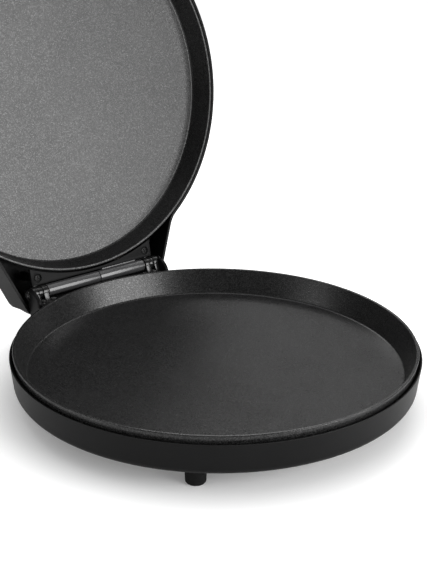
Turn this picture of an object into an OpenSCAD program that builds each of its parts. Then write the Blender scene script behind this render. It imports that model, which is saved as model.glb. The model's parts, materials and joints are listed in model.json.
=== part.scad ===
// Electric pizza maker with a hinged lid, drawn with the lid open on its stop.
// Millimetres. Z is up and zero is the table. X runs along the hinge rod and +Y is the rear.
// Every base piece is drawn round the axis of the lower pan, and every lid piece is drawn
// closed over it and then swung open. The whole is shifted so that its overall box is centred.

/* [Pans] */
// Outer radius of both pans' rims
rim_r = 165; // [160:0.5:175]
// Distance of the lower rim outside its pan's flat floor
lower_wall_run = 10; // [7:0.5:15]
// Distance of the upper rim outside its pan's flat floor
upper_wall_run = 7; // [6:0.5:15]
// Depth of each pan below its rim
pan_depth = 21.8; // [19:0.1:22.5]
// Thickness of the cast pans
pan_t = 2.4; // [2:0.1:3]
// Width of the flat land on top of the rim
rim_land = 2.6; // [2:0.1:3.5]
// Height of the upright lip outside the rim
lip_h = 9; // [7:0.5:11]
// How far the lip leans in at its lower edge
lip_lean = 1; // [0.8:0.1:1.3]
// Radius of the fillet between a pan's floor and wall
floor_fillet = 2; // [1:0.5:4]
// Gap between the two rims with the lid closed
closed_gap = 2; // [1:0.1:3]

/* [Base shell] */
// Height of the base shell's top edge above the table
ledge_z = 42; // [41:0.5:46]
// Height of the lower rim above the base shell's top edge
rim_up = 5.7; // [5:0.1:7]
// Clearance between a rim and the shell round it
rim_clear = 0.5; // [0.3:0.1:1]
// Wall thickness of both shells
shell_t = 2.2; // [2:0.1:2.6]
// Height of the base shell's upright wall
base_wall_h = 20; // [17:0.5:21]
// How far each shell's upright wall leans in
wall_lean = 2.3; // [1:0.1:3]
// Radius of the base shell's lower edge
base_edge_r = 6; // [4:0.5:8]
// Radius at which the belly turns flat
belly_r = 125; // [122:1:128]
// Height of the flat belly above the table
belly_z = 9.4; // [9:0.1:11]
// Radius of the round opening in the belly
belly_hole_r = 104; // [98:1:106]
// Number of locating ribs between shell and lower rim
rib_count = 12; // [6:2:24]
// Width of a locating rib
rib_w = 1.6; // [1:0.1:3]
// Height of a locating rib
rib_h = 6; // [3:0.5:8]
// Depth of the bevel inside the base shell's top edge
lip_bevel = 1.2; // [0.5:0.1:1.5]

/* [Lid shell] */
// Height of the lid shell's upright wall
lid_wall_h = 20; // [18:0.5:22]
// Radius of the lid shell's upper edge
lid_edge_r = 9; // [6:0.5:12]
// Height of the lid's crown above its rim
crown_h = 48; // [47:0.5:54]
// Half width of the tail at its rear end
tail_half_w = 72; // [71:0.5:74]
// Angle in degrees by which each side of the tail turns inwards
tail_taper = 23; // [22:0.5:25]
// Radius of the hollow curve from lid to tail
tail_sweep_r = 25; // [15:1:40]
// Reach of the tail's back behind the hinge rod
tail_reach = 19.9; // [19:0.1:24]
// Radius of the tail's two back corners
tail_corner_r = 10; // [8:0.5:12]
// Height of the tail's back wall
tail_back_h = 25.5; // [24:0.5:26.5]
// Forward lean of the tail's back wall
tail_back_lean = 7.5; // [6:0.5:8]
// Height of the tail's flat top
tail_top_h = 28.5; // [27.5:0.5:29]

/* [Hinge] */
// Distance of the hinge rod behind the pans' rims
hinge_set = 10.1; // [9.5:0.1:13]
// Angle of the open lid from closed
open_angle = 101.75; // [95:0.25:105]
// Radius of the hinge rod
rod_r = 2.5; // [2:0.1:2.7]
// Radial clearance of what turns on the rod
rod_clear = 0.06; // [0.02:0.01:0.1]
// Radius of the lid straps' knuckles
knuckle_r = 5.6; // [5.2:0.1:5.8]
// Thickness of the lid straps
strap_t = 1.6; // [1.2:0.1:1.8]
// Width of a lid strap
strap_w = 9; // [8:0.5:9]
// Reach of a lid strap from the rod
strap_len = 21; // [18:0.5:24]
// Distance of each lid strap from the middle
strap_x = 59; // [58:0.5:60]
// Distance of each strap's knuckle from the middle
knuckle_x = 61.2; // [60.9:0.1:61.5]
// Width of each strap's knuckle
knuckle_w = 4; // [3:0.1:4.2]
// Thickness of the base's hinge plate
plate_t = 1.6; // [1.2:0.1:1.8]
// Width of each of the hinge plate's ears
ear_w = 4.6; // [4.2:0.1:5]
// Radius of the hinge plate's ears
ear_r = 6; // [5.4:0.1:6.2]
// Side play between neighbouring hinge pieces
side_play = 0.5; // [0.3:0.1:0.6]
// Radius of the two barrels
barrel_r = 5.5; // [4.8:0.1:5.6]
// Place along the rod where the barrels meet
barrel_joint_x = 3; // [-20:1:20]
// Gap between the barrels' ends
barrel_gap = 0.4; // [0.3:0.1:1]
// Thickness of a thrust washer
washer_t = 0.8; // [0.6:0.1:1.2]
// Thickness of a base lug
lug_t = 3.4; // [3.2:0.1:4.5]
// Radius of a base lug's round end about the rod
lug_r = 5; // [4.6:0.1:6]
// Radius of a base lug's round front
lug_front_r = 14; // [12:0.5:15]
// Length of a base lug's flat top
lug_flat = 4.6; // [3:0.1:6]
// Radius of a base lug's outer edge
lug_edge_r = 2; // [1:0.1:2.8]
// Clearance between the lid's tail and its stop
stop_clear = 0.3; // [0.1:0.1:0.6]
// Height of the rear bridge's lower face
bridge_z = 21; // [21:0.5:24]
// Half width of the lid's hinge cover
cover_half_w = 65.6; // [65:0.1:66.5]
// Reach of the lid cover's edge from the rod
cover_clear = 6.5; // [6.3:0.1:8]
// Gap between the lid cover and the upper rim
cover_gap = 1.5; // [1:0.1:2]
// Thickness of a push-on nut
push_nut_t = 1; // [0.8:0.1:1.2]
// Radius of a push-on nut
push_nut_r = 4.4; // [4:0.1:5]

/* [Feet] */
// Distance of the feet's circle inside the shell
foot_inset = 21.7; // [20:0.1:27]
// Radius of a foot
foot_r = 8; // [7:0.5:9]
// Height of a foot
foot_h = 11.5; // [10.5:0.5:12]
// Radius of a foot's lower edge
foot_edge_r = 2; // [1:0.5:3]

/* [Bottom cover] */
// Thickness of the bottom cover
cover_plate_t = 1.6; // [1:0.1:2]
// Overlap of the bottom cover on the belly
cover_lap = 9; // [8:0.5:12]
// Number of vent slots
vent_count = 12; // [6:1:18]
// Width of a vent slot
vent_w = 4; // [3:0.5:5]
// Length of a vent slot
vent_len = 26; // [15:1:36]
// Radius of the circle of vent slots
vent_circle_r = 72; // [55:1:78]

/* [Heating] */
// Radius of the element's ring
ring_r = 108; // [104:1:109]
// Radius of the element's tube
tube_r = 3.25; // [3:0.05:3.4]
// Half of the ring's rear gap, in degrees
ring_gap = 20; // [16:1:26]
// Length of the element's straight ends
cold_len = 20; // [14:1:22]
// Radius of a terminal pin
pin_r = 1.3; // [1:0.1:1.6]
// Length of a terminal pin
pin_len = 9; // [6:0.5:10]
// Thickness of the saddle clips and the thermostat's bracket
clip_t = 0.8; // [0.6:0.1:0.9]
// Width of a saddle clip
clip_w = 9; // [7:0.5:12]
// Height of the pads under the pans
pad_h = 1.5; // [1:0.1:2]
// Radius of the pads under the pans
pad_r = 3.5; // [3:0.1:4]
// Thickness of the reflectors
reflector_t = 0.5; // [0.4:0.1:0.8]
// Radius of the lower reflector
lower_reflector_r = 118; // [116:0.5:119]
// Height of the lower reflector above the belly
lower_reflector_h = 3; // [2.6:0.1:3.2]
// Radius of the upper reflector
upper_reflector_r = 114; // [108:1:115]
// Distance of the upper reflector from its pan
upper_reflector_h = 8; // [7.8:0.1:8.3]
// Distance of a thermostat from the pan's axis
thermostat_y = 50; // [30:1:70]
// Radius of a thermostat's body
thermostat_r = 6.8; // [6:0.1:7.5]
// Height of a thermostat's body
thermostat_h = 6.6; // [5:0.1:6.8]
// Radius of an insulated wire
wire_r = 0.9; // [0.7:0.05:1]

/* [Fixings] */
// Gap between the element's clips and the lower pan's posts
lower_post_gap = 9.85; // [8:0.05:11]
// Gap between the element's clips and the upper pan's posts
upper_post_gap = 0.85; // [0.5:0.05:4]
// Radius of a pan post
post_r = 5.5; // [5:0.1:6]
// Height of a pan's screw boss
boss_h = 4; // [3.5:0.1:4.2]
// Shank radius of the larger screws
screw_r = 2; // [1.6:0.1:2.1]
// Head radius of the larger screws
head_r = 3.6; // [3:0.1:3.8]
// Head height of the larger screws
head_h = 2.2; // [1.8:0.1:2.4]
// Shank radius of the small screws
small_screw_r = 1.4; // [1.2:0.1:1.5]
// Head radius of the small screws
small_head_r = 2.6; // [2.2:0.1:2.8]
// Head height of the small screws
small_head_h = 1.2; // [1:0.1:1.4]
// Clearance round a screw's head or shank
screw_clear = 0.2; // [0.1:0.05:0.3]
// Shank length of a hinge plate screw
plate_screw_len = 8; // [6:0.5:8]
// Shank length of a lid hinge screw
lid_screw_len = 9; // [7:0.5:10]
// Shank length of a handle screw
handle_screw_len = 10; // [8:0.5:12]

/* [Cord inlet] */
// Direction of the cord inlet, in degrees from +X
inlet_angle = 58; // [52:1:64]
// Height of the cord inlet
inlet_z = 26; // [25.5:0.5:27]
// Radius of the gland's bore
gland_bore_r = 3.4; // [3:0.1:3.8]
// Radius of the gland's neck
gland_neck_r = 5.2; // [4.8:0.1:5.6]
// Radius of the gland's collar
gland_collar_r = 7.2; // [6.6:0.1:7.6]
// Radius of the gland's nut, over its corners
gland_nut_r = 6.4; // [6.2:0.1:6.6]
// Thickness of the gland's nut
gland_nut_t = 2; // [1.5:0.1:2.2]
// Length of the gland outside the shell
gland_nose = 9; // [6:0.5:14]
// Radius of the shell's inlet boss
inlet_boss_r = 8.5; // [8:0.1:9]
// Height of the inlet boss outside the shell
inlet_boss_out = 1.8; // [1:0.1:4]
// Gap between the gland's nut and the lower pan
inlet_pan_gap = 0.7; // [0.4:0.1:1.2]

/* [Handle and lamps] */
// Half width of the handle
handle_half_w = 55; // [48:1:65]
// Reach of the handle in front of the shell
handle_reach = 38; // [34:1:46]
// Width of the handle's bar
handle_bar = 15; // [12:1:18]
// Width of the handle's arms
handle_arm = 15; // [13:1:18]
// Height of the handle's lower face above the lid's rim
handle_low = 7; // [7:0.5:8]
// Thickness of the handle
handle_t = 13; // [12:0.5:14]
// Corner radius of the handle
handle_corner_r = 14; // [8:1:16]
// Distance of the lamps from the pan's axis
lamp_y = 122; // [121:0.5:124]
// Distance of each lamp from the middle
lamp_x = 12; // [8:1:16]
// Radius of a lens
lens_r = 3.5; // [3:0.1:4]

/* [Hidden] */
$fn = 96;
seam = 0.02;
// Heights
rim_z = ledge_z + rim_up;
lid_rim_z = rim_z + closed_gap;
hinge_z = rim_z + closed_gap / 2;
lower_back_z = rim_z - pan_depth - pan_t;
upper_back_h = pan_depth + pan_t;
belly_top_z = belly_z + shell_t;
// Radii
shell_r = rim_r + rim_clear + shell_t;
lower_floor_r = rim_r - lower_wall_run;
upper_floor_r = rim_r - upper_wall_run;
base_edge_cx = shell_r - wall_lean - base_edge_r;
base_edge_cz = ledge_z - base_wall_h;
lid_edge_cx = shell_r - wall_lean - lid_edge_r;
cover_plate_r = belly_hole_r + cover_lap;
cover_screw_circle_r = belly_hole_r + cover_lap / 2;
foot_circle_r = shell_r - foot_inset;
// Hinge places
hinge_y = rim_r + hinge_set;
tail_back_y = hinge_y + tail_reach;
strap_z = hinge_z + knuckle_r - strap_t;
cover_t = strap_z - lid_rim_z;
plate_z = hinge_z - knuckle_r - side_play - plate_t;
ear_inner_x = knuckle_x - knuckle_w / 2 - side_play - ear_w;
ear_outer_x = knuckle_x + knuckle_w / 2 + side_play;
ear_half_w = ear_outer_x + ear_w;
lug_x = ear_half_w + side_play;
rod_end_x = lug_x + lug_t + push_nut_t + 0.5;
rod_bore_r = rod_r + rod_clear;
barrel_end_x = ear_inner_x - side_play - washer_t;
lid_screw_set = 12.6;
lid_screw_y = hinge_y - lid_screw_set;
// Fixing places
lower_post_angles = [30, 150, 270];
upper_post_angles = [30, 150, 270];
clip_angles = [-90, 20, 160];
foot_angles = [225, 315, 115, 65];
cover_screw_angles = [45, 135, 225, 315];
clip_pad_offset = tube_r + clip_t + pad_r + 0.6;
clip_reach = clip_pad_offset + pad_r;
lower_post_circle_r = ring_r + clip_reach + post_r + lower_post_gap;
upper_post_circle_r = ring_r + clip_reach + post_r + upper_post_gap;
thermostat_pad_x = thermostat_r + pad_r + 2.4;
plate_head_r = knuckle_w / 2 + side_play - 0.3;
plate_screw_x = [knuckle_x, ear_inner_x - plate_head_r - 1];
plate_screw_y = hinge_y - 8.2;
// Outer radius of the lower pan's wall at a height, and what the gland keeps clear of it
wall_foot_r = lower_floor_r + 0.8 * pan_t;
wall_head_r = rim_r - lip_lean - pan_t;
function lower_wall_r(z) =
    wall_foot_r + (wall_head_r - wall_foot_r) * (z - rim_z + pan_depth) / (pan_depth - lip_h);
inlet_seat_reach = lower_wall_r(inlet_z + gland_nut_r) + gland_nut_t + inlet_pan_gap;
inlet_boss_reach = shell_r + inlet_boss_out;
handle_screw_x = handle_half_w - handle_arm / 2;
handle_mid_h = handle_low + handle_t / 2;
handle_front_y = -(shell_r + handle_reach);
post_seat_z = lower_back_z - boss_h;
foot_boss_top = 20;
block_y = 132;
block_half_w = 16;
block_d = 10;
block_screw_x = 12;
terminal_x = [-6, 0, 6];
block_seat_z = 14.4;
block_h = 5.6;
cutout_x = -12;
cutout_y = 120;
cutout_len = 12;
cutout_r = 2.3;
block_front_y = block_y - block_d / 2;
wire_entry_h = lower_back_z - block_seat_z - block_h / 2;
blade_h = 1.1;
blade_wire_h = thermostat_h + wire_r + 0.15;
// Lid connector and the wires that reach it over the upper pan's edge
connector_wire_x = [35, 41, 47];
connector_margin = 4;
connector_d = 4.8;
connector_h = 9;
connector_back_y = hinge_y - cover_clear - 0.1;
connector_y = connector_back_y - connector_d / 2;
connector_top_h = cover_t + connector_h - upper_back_h;
wire_lift = wire_r + 0.5;
reflector_wire_h = wire_r + 4.3;
lamp_wire_h = 10.4;
function edge_y(x) = sqrt(pow(upper_floor_r - 0.5, 2) - x * x);
// Depth of the lower screw heads inside the shell posts
post_recess_z = 14.4;
upper_seat_h = upper_back_h + boss_h;
upper_head_h = upper_seat_h + 2;
plug_t = 1.2;
lamp_r = lens_r - 0.6;
reflector_leg_circle_r = 90;
reflector_leg_r = 3;

// Where a point of the closed lid lies with the lid open
function open_y(y, z) = hinge_y + (y - hinge_y) * cos(open_angle) + (z - hinge_z) * sin(open_angle);

// Points along an arc
function arc(cx, cy, r, a0, a1, n) =
    [for (i = [0:n]) [cx + r * cos(a0 + (a1 - a0) * i / n), cy + r * sin(a0 + (a1 - a0) * i / n)]];
function reversed(list) = [for (i = [len(list) - 1:-1:0]) list[i]];

// Height of the lid's crown curve at a radius, for a surface o inside the outer one
crown_start_r = lid_edge_cx + lid_edge_r * cos(78);
crown_start_h = lid_wall_h + lid_edge_r * sin(78);
crown_rise = crown_h - crown_start_h;
crown_r = (crown_start_r * crown_start_r + crown_rise * crown_rise) / (2 * crown_rise);
function crown_at(r, o) = crown_h - crown_r + sqrt((crown_r - o) * (crown_r - o) - r * r);

// Half section of the bowl, o inside its outer surface
function bowl_line(o) = concat(
    [[0, belly_z + o], [belly_r, belly_z + o]],
    arc(base_edge_cx, base_edge_cz, base_edge_r - o, -79, 0, 8),
    [[shell_r - o, ledge_z]]);
// Half section of the dome, o inside its outer surface
function dome_line(o) = concat(
    [[shell_r - o, 0]],
    arc(lid_edge_cx, lid_wall_h, lid_edge_r - o, 0, 78, 8),
    [for (i = [1:12]) let (r = (crown_start_r - o * cos(78)) * (1 - i / 12)) [r, crown_at(r, o)]]);

back_points = concat(
    [for (p = dome_line(0)) open_y(-p[0], lid_rim_z + p[1])],
    [open_y(handle_front_y, lid_rim_z + handle_low + handle_t)]);
mid_y = (max(back_points) - shell_r) / 2;

// Puts a base piece into the part's frame
module in_frame() {
    translate([0, -mid_y, 0]) children();
}
// Swings a closed lid piece open; children are drawn with the lid's rim at zero height
module on_lid() {
    in_frame()
        translate([0, hinge_y, hinge_z]) rotate([-open_angle, 0, 0])
            translate([0, -hinge_y, lid_rim_z - hinge_z]) children();
}
// Turns the back of the lower pan downwards; children are drawn on a pan's back
module on_lower_back() {
    in_frame() translate([0, 0, lower_back_z]) mirror([0, 0, 1]) children();
}
module on_upper_back() {
    on_lid() translate([0, 0, upper_back_h]) children();
}
module ring_of(angles, r) {
    for (a = angles) rotate([0, 0, a]) translate([r, 0, 0]) children();
}
module both_sides() {
    for (s = [-1, 1]) scale_x(s) children();
}
module scale_x(s) {
    if (s < 0) mirror([1, 0, 0]) children();
    else children();
}
// A bar along X with the given outline in Y and Z
module along_x(x0, x1) {
    translate([x0, 0, 0]) rotate([90, 0, 90]) linear_extrude(x1 - x0) children();
}
module rod_along_x(x0, x1, r) {
    translate([x0, hinge_y, hinge_z]) rotate([0, 90, 0]) cylinder(r = r, h = x1 - x0);
}
// Where the outer end of a terminal pin lies on a pan's back
function pin_end(s, extra) =
    let (l = cold_len + pin_len + extra)
    [s * (ring_r * sin(ring_gap) - l * cos(ring_gap)), ring_r * cos(ring_gap) + l * sin(ring_gap), tube_r];
// A screw with its head's top at zero and its shank pointing down
module screw(shank_r, shank_l, cap_r, cap_h) {
    difference() {
        union() {
            translate([0, 0, -cap_h]) cylinder(r = cap_r, h = cap_h, $fn = 48);
            translate([0, 0, -cap_h - shank_l]) cylinder(r = shank_r, h = shank_l + seam, $fn = 48);
        }
        for (a = [0, 90]) rotate([0, 0, a])
            translate([-cap_r * 0.6, -cap_r * 0.12, -cap_h * 0.5])
                cube([cap_r * 1.2, cap_r * 0.24, cap_h]);
    }
}
function unit(v) = v / norm(v);
// Direction of a wire at each of its points
function wire_dirs(p) = [for (i = [0:len(p) - 1])
    let (before = i > 0 ? unit(p[i] - p[i - 1]) : [0, 0, 0],
        after = i < len(p) - 1 ? unit(p[i + 1] - p[i]) : [0, 0, 0])
    unit(before + after)];
// A side direction at each point, carried along so that the wire doesn't twist
function wire_sides(dirs, i, side) = i == len(dirs) ? [] :
    let (s = unit(side - (side * dirs[i]) * dirs[i])) concat([s], wire_sides(dirs, i + 1, s));
// A wire through the given points
module wire(points) {
    n = 8;
    last = len(points) - 1;
    dirs = wire_dirs(points);
    sides = wire_sides(dirs, 0, [0.3, 0.2, 0.9]);
    rim = [for (i = [0:last], k = [0:n - 1])
        points[i] + wire_r * (cos(k * 360 / n) * sides[i] + sin(k * 360 / n) * cross(dirs[i], sides[i]))];
    skin = [for (i = [0:last - 1], k = [0:n - 1])
        let (a = i * n + k, b = i * n + (k + 1) % n) each [[a, a + n, b + n], [a, b + n, b]]];
    polyhedron(rim, concat([[for (k = [0:n - 1]) k]], skin, [[for (k = [n - 1:-1:0]) last * n + k]]));
}

// Pans and heating, drawn on a pan's back

// Half section of a pan standing on its floor, with its rim at pan_depth
module pan_section(floor_r) {
    wall_top_r = rim_r - rim_land;
    polygon(concat(
        [[0, 0], [floor_r - floor_fillet, 0]],
        arc(floor_r - floor_fillet, floor_fillet, floor_fillet, -90, -18, 4),
        [[wall_top_r - 0.4, pan_depth - 0.6], [wall_top_r + 0.2, pan_depth],
         [rim_r - 0.6, pan_depth], [rim_r, pan_depth - 0.6],
         [rim_r - lip_lean, pan_depth - lip_h], [rim_r - lip_lean - pan_t, pan_depth - lip_h],
         [floor_r + 0.8 * pan_t, 0], [floor_r - floor_fillet, -pan_t], [0, -pan_t]]));
}
module pan_pads() {
    ring_of(clip_angles, ring_r) for (s = [-1, 1]) translate([s * clip_pad_offset, 0, 0])
        pad();
    translate([0, thermostat_y, 0]) for (s = [-1, 1]) translate([s * thermostat_pad_x, 0, 0])
        pad();
}
module pad() {
    cylinder(r = pad_r, h = pad_h, $fn = 48);
}
// A pan with its back at zero and its rim below
module pan(floor_r, post_circle_r, post_angles) {
    difference() {
        union() {
            mirror([0, 0, 1]) translate([0, 0, pan_t])
                rotate_extrude($fn = 180) pan_section(floor_r);
            pan_pads();
            ring_of(post_angles, post_circle_r) cylinder(r = post_r, h = boss_h, $fn = 48);
        }
        ring_of(post_angles, post_circle_r)
            translate([0, 0, 0.3]) cylinder(r = screw_r, h = boss_h, $fn = 48);
        ring_of(clip_angles, ring_r) for (s = [-1, 1])
            translate([s * clip_pad_offset, 0, -1]) pilot();
        translate([0, thermostat_y, 0]) for (s = [-1, 1])
            translate([s * thermostat_pad_x, 0, -1]) pilot();
    }
}
module pilot() {
    cylinder(r = small_screw_r, h = pad_h + 2, $fn = 48);
}
// Each straight end leaves the ring along its tangent
module ring_end(s) {
    rotate([0, 0, 90 + s * ring_gap]) translate([ring_r, 0, tube_r]) rotate([s * 90, 0, 0])
        children();
}
module element() {
    color("dimgray") {
        translate([0, 0, tube_r]) rotate([0, 0, 90 + ring_gap])
            rotate_extrude(angle = 360 - 2 * ring_gap, $fn = 180)
                translate([ring_r, 0]) circle(r = tube_r, $fn = 48);
        for (s = [-1, 1]) ring_end(s) cylinder(r = tube_r, h = cold_len, $fn = 48);
        for (s = [-1, 1]) ring_end(s) translate([0, 0, -1]) cylinder(r = tube_r - 0.3, h = 2, $fn = 48);
    }
}
module element_pins() {
    color("silver") for (s = [-1, 1])
        ring_end(s) translate([0, 0, cold_len]) cylinder(r = pin_r, h = pin_len, $fn = 48);
}
module saddle_outline() {
    hug_r = tube_r + screw_clear;
    foot_len = clip_pad_offset + pad_r;
    difference() {
        union() {
            translate([0, tube_r]) circle(r = hug_r + clip_t, $fn = 64);
            translate([-hug_r - clip_t, pad_h]) square([2 * (hug_r + clip_t), tube_r - pad_h]);
            translate([-foot_len, pad_h]) square([2 * foot_len, clip_t]);
        }
        translate([0, tube_r]) circle(r = hug_r, $fn = 64);
        translate([-hug_r, -tube_r]) square([2 * hug_r, 2 * tube_r]);
        translate([-foot_len, pad_h - 2 * tube_r]) square([2 * foot_len, 2 * tube_r]);
    }
}
module element_clips() {
    color("gainsboro") ring_of(clip_angles, ring_r) difference() {
        rotate([90, 0, 0]) linear_extrude(clip_w, center = true) saddle_outline();
        for (s = [-1, 1]) translate([s * clip_pad_offset, 0, 0])
            cylinder(r = small_screw_r + screw_clear, h = pad_h + 2 * clip_t, $fn = 48);
    }
}
module clip_screws() {
    top = pad_h + clip_t + small_head_h;
    color("silver") {
        ring_of(clip_angles, ring_r) for (s = [-1, 1])
            translate([s * clip_pad_offset, 0, top]) small_screw();
        for (s = [-1, 1]) translate([s * thermostat_pad_x, thermostat_y, top]) small_screw();
    }
}
module small_screw() {
    screw(small_screw_r - 0.05, 3, small_head_r, small_head_h);
}
module thermostat() {
    color("tan") translate([0, thermostat_y, 0]) {
        cylinder(r = thermostat_r + 1.6, h = pad_h, $fn = 64);
        cylinder(r = thermostat_r, h = thermostat_h, $fn = 64);
        for (s = [-1, 1]) translate([s * 3 - 0.4, -2, thermostat_h - seam])
            cube([0.8, 4, blade_h]);
    }
}
module thermostat_bracket() {
    half_l = thermostat_pad_x + pad_r;
    color("gainsboro") translate([0, thermostat_y, pad_h]) difference() {
        union() {
            translate([-half_l, -pad_r, 0]) cube([2 * half_l, 2 * pad_r, clip_t]);
            cylinder(r = thermostat_r + 2.2, h = clip_t, $fn = 64);
        }
        translate([0, 0, -1]) cylinder(r = thermostat_r + screw_clear, h = clip_t + 2, $fn = 64);
        for (s = [-1, 1]) translate([s * thermostat_pad_x, 0, -1])
            cylinder(r = small_screw_r + screw_clear, h = clip_t + 2, $fn = 48);
    }
}

// Base

// Where a wire leaves the rear end of a thermostat's blade
function blade_end(x) = [x, thermostat_y + 2, blade_wire_h];
// Solid inside the bowl's surface o, carried up to the given height
module bowl_solid(o, top) {
    rotate_extrude($fn = 180) polygon(concat(bowl_line(o), [[shell_r - o, top], [0, top]]));
}
// Stop plane of the open lid, as the line in Y and Z that the tail's rim lies on
function stop_y(z) =
    let (d = (hinge_z - z + (closed_gap / 2 - stop_clear) * cos(open_angle)) / sin(open_angle))
    hinge_y + d * cos(open_angle) + (closed_gap / 2 - stop_clear) * sin(open_angle);
// Section of a lug as high or as wide as r, with its outer edge rounded
module lug_section(r) {
    polygon(concat([[0, 0], [r, 0]],
        arc(r - lug_edge_r, lug_t - lug_edge_r, lug_edge_r, 0, 90, 6), [[0, lug_t]]));
}
// A lug turned about the rod at its rear and about a lower axis at its front
module lug() {
    wall_y = sqrt(shell_r * shell_r - pow(lug_x + lug_t, 2)) - shell_t;
    front_z = hinge_z + lug_r - lug_front_r;
    translate([lug_x, hinge_y, hinge_z]) rotate([0, 90, 0]) rotate_extrude() lug_section(lug_r);
    translate([lug_x, hinge_y - lug_flat, front_z]) rotate([0, 90, 0])
        rotate([0, 0, 180]) rotate_extrude(angle = 90) lug_section(lug_front_r);
    translate([lug_x, hinge_y, front_z]) rotate([90, 0, 0]) linear_extrude(lug_flat)
        mirror([1, -1]) lug_section(lug_front_r);
    along_x(lug_x, lug_x + lug_t)
        polygon([[wall_y, bridge_z], [wall_y, ledge_z], [stop_y(ledge_z), ledge_z],
            [stop_y(bridge_z), bridge_z]]);
}
module rear_blocks() {
    both_sides() lug();
    along_x(-lug_x - seam, lug_x + seam)
        polygon([[hinge_y - 40, bridge_z], [stop_y(bridge_z), bridge_z],
            [stop_y(plate_z), plate_z], [hinge_y - 40, plate_z]]);
}
module inlet_axis() {
    rotate([0, 0, inlet_angle]) translate([0, 0, inlet_z]) rotate([0, 90, 0]) children();
}
module base_posts() {
    ring_of(lower_post_angles, lower_post_circle_r)
        translate([0, 0, belly_z]) cylinder(r = post_r, h = post_seat_z - belly_z, $fn = 48);
    ring_of(foot_angles, foot_circle_r) {
        translate([0, 0, foot_h]) cylinder(r = foot_r + 0.5, h = 4, $fn = 64);
        translate([0, 0, foot_h]) cylinder(r = 4.5, h = foot_boss_top - foot_h, $fn = 48);
    }
    ring_of(cover_screw_angles, cover_screw_circle_r)
        translate([0, 0, belly_z]) cylinder(r = 3.2, h = 4.4, $fn = 48);
    translate([-block_half_w, block_y - block_d / 2 - 1, belly_z + 2])
        cube([2 * block_half_w, block_d + 2, block_seat_z - belly_z - 2]);
}
module locating_ribs() {
    tip_r = rim_r - lip_lean + 0.4;
    ring_of([for (i = [0:rib_count - 1]) (i + 0.5) * 360 / rib_count], tip_r)
        translate([0, -rib_w / 2, ledge_z - rib_h - 0.4])
            cube([shell_r - shell_t - tip_r + 0.8, rib_w, rib_h]);
}
module base_shell() {
    color("#262728") in_frame() difference() {
        union() {
            difference() {
                union() {
                    bowl_solid(0, ledge_z);
                    rear_blocks();
                    inlet_axis() cylinder(r = inlet_boss_r, h = inlet_boss_reach, $fn = 64);
                }
                bowl_solid(shell_t, ledge_z - lip_bevel);
                translate([0, 0, ledge_z - lip_bevel - seam]) cylinder(
                    r1 = shell_r - shell_t, r2 = shell_r - shell_t + lip_bevel,
                    h = lip_bevel + 2 * seam, $fn = 180);
                translate([0, 0, ledge_z]) cylinder(
                    r = shell_r - shell_t + lip_bevel, h = 2 * lug_r + rim_up, $fn = 180);
                translate([0, 0, -1]) cylinder(r = belly_hole_r, h = belly_top_z + 2, $fn = 180);
            }
            base_posts();
            locating_ribs();
            inlet_axis() translate([0, 0, inlet_seat_reach])
                cylinder(r = inlet_boss_r, h = inlet_boss_reach - inlet_seat_reach, $fn = 64);
        }
        ring_of(lower_post_angles, lower_post_circle_r) {
            cylinder(r = screw_r + screw_clear, h = post_seat_z + 1, $fn = 48);
            cylinder(r = head_r + screw_clear, h = post_recess_z, $fn = 48);
        }
        ring_of(foot_angles, foot_circle_r) translate([0, 0, foot_h - 1])
            cylinder(r = screw_r, h = foot_boss_top - foot_h, $fn = 48);
        ring_of(cover_screw_angles, cover_screw_circle_r)
            translate([0, 0, belly_z - 1]) cylinder(r = small_screw_r, h = 4.6, $fn = 48);
        inlet_axis() cylinder(r = gland_neck_r + screw_clear, h = inlet_boss_reach + 2, $fn = 64);
        rod_along_x(-rod_end_x, rod_end_x, rod_bore_r);
        both_sides() for (x = plate_screw_x)
            translate([x, plate_screw_y, plate_z - plate_screw_len])
                cylinder(r = small_screw_r, h = plate_screw_len + 1, $fn = 48);
        for (s = [-1, 1]) translate([s * block_screw_x, block_y, block_seat_z - 2.6])
            cylinder(r = small_screw_r, h = 8, $fn = 48);
    }
}
module bottom_cover() {
    color("#5a5c5e") in_frame() difference() {
        translate([0, 0, belly_z - cover_plate_t])
            cylinder(r = cover_plate_r, h = cover_plate_t, $fn = 180);
        for (i = [0:vent_count - 1]) rotate([0, 0, i * 360 / vent_count])
            translate([vent_circle_r, 0, belly_z - cover_plate_t - 1]) linear_extrude(4)
                square([vent_len, vent_w], center = true);
        ring_of(cover_screw_angles, cover_screw_circle_r)
            cylinder(r = small_screw_r + screw_clear, h = belly_z + 1, $fn = 48);
    }
}
module bottom_cover_screws() {
    color("silver") in_frame() ring_of(cover_screw_angles, cover_screw_circle_r)
        translate([0, 0, belly_z - cover_plate_t - small_head_h]) mirror([0, 0, 1])
            screw(small_screw_r - 0.05, cover_plate_t + 3, small_head_r, small_head_h);
}
module lower_pan() {
    color("#3a3b3c") on_lower_back()
        pan(lower_floor_r, lower_post_circle_r, lower_post_angles);
}
module lower_pan_screws() {
    color("silver") in_frame() ring_of(lower_post_angles, lower_post_circle_r)
        translate([0, 0, post_recess_z - head_h]) mirror([0, 0, 1])
            screw(screw_r - 0.05, lower_back_z - post_recess_z - 0.5, head_r, head_h);
}
module lower_reflector() {
    z = belly_top_z;
    r = lower_reflector_r;
    color("whitesmoke") in_frame() rotate_extrude($fn = 180) polygon([
        [0, z + lower_reflector_h - reflector_t], [r - reflector_t, z + lower_reflector_h - reflector_t],
        [r - reflector_t, z], [r, z], [r, z + lower_reflector_h], [0, z + lower_reflector_h]]);
}
module thermal_cutout() {
    color("white") on_lower_back() translate([cutout_x - cutout_len, cutout_y, cutout_r + 0.1])
        rotate([0, 90, 0]) cylinder(r = cutout_r, h = cutout_len, $fn = 48);
}
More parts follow.
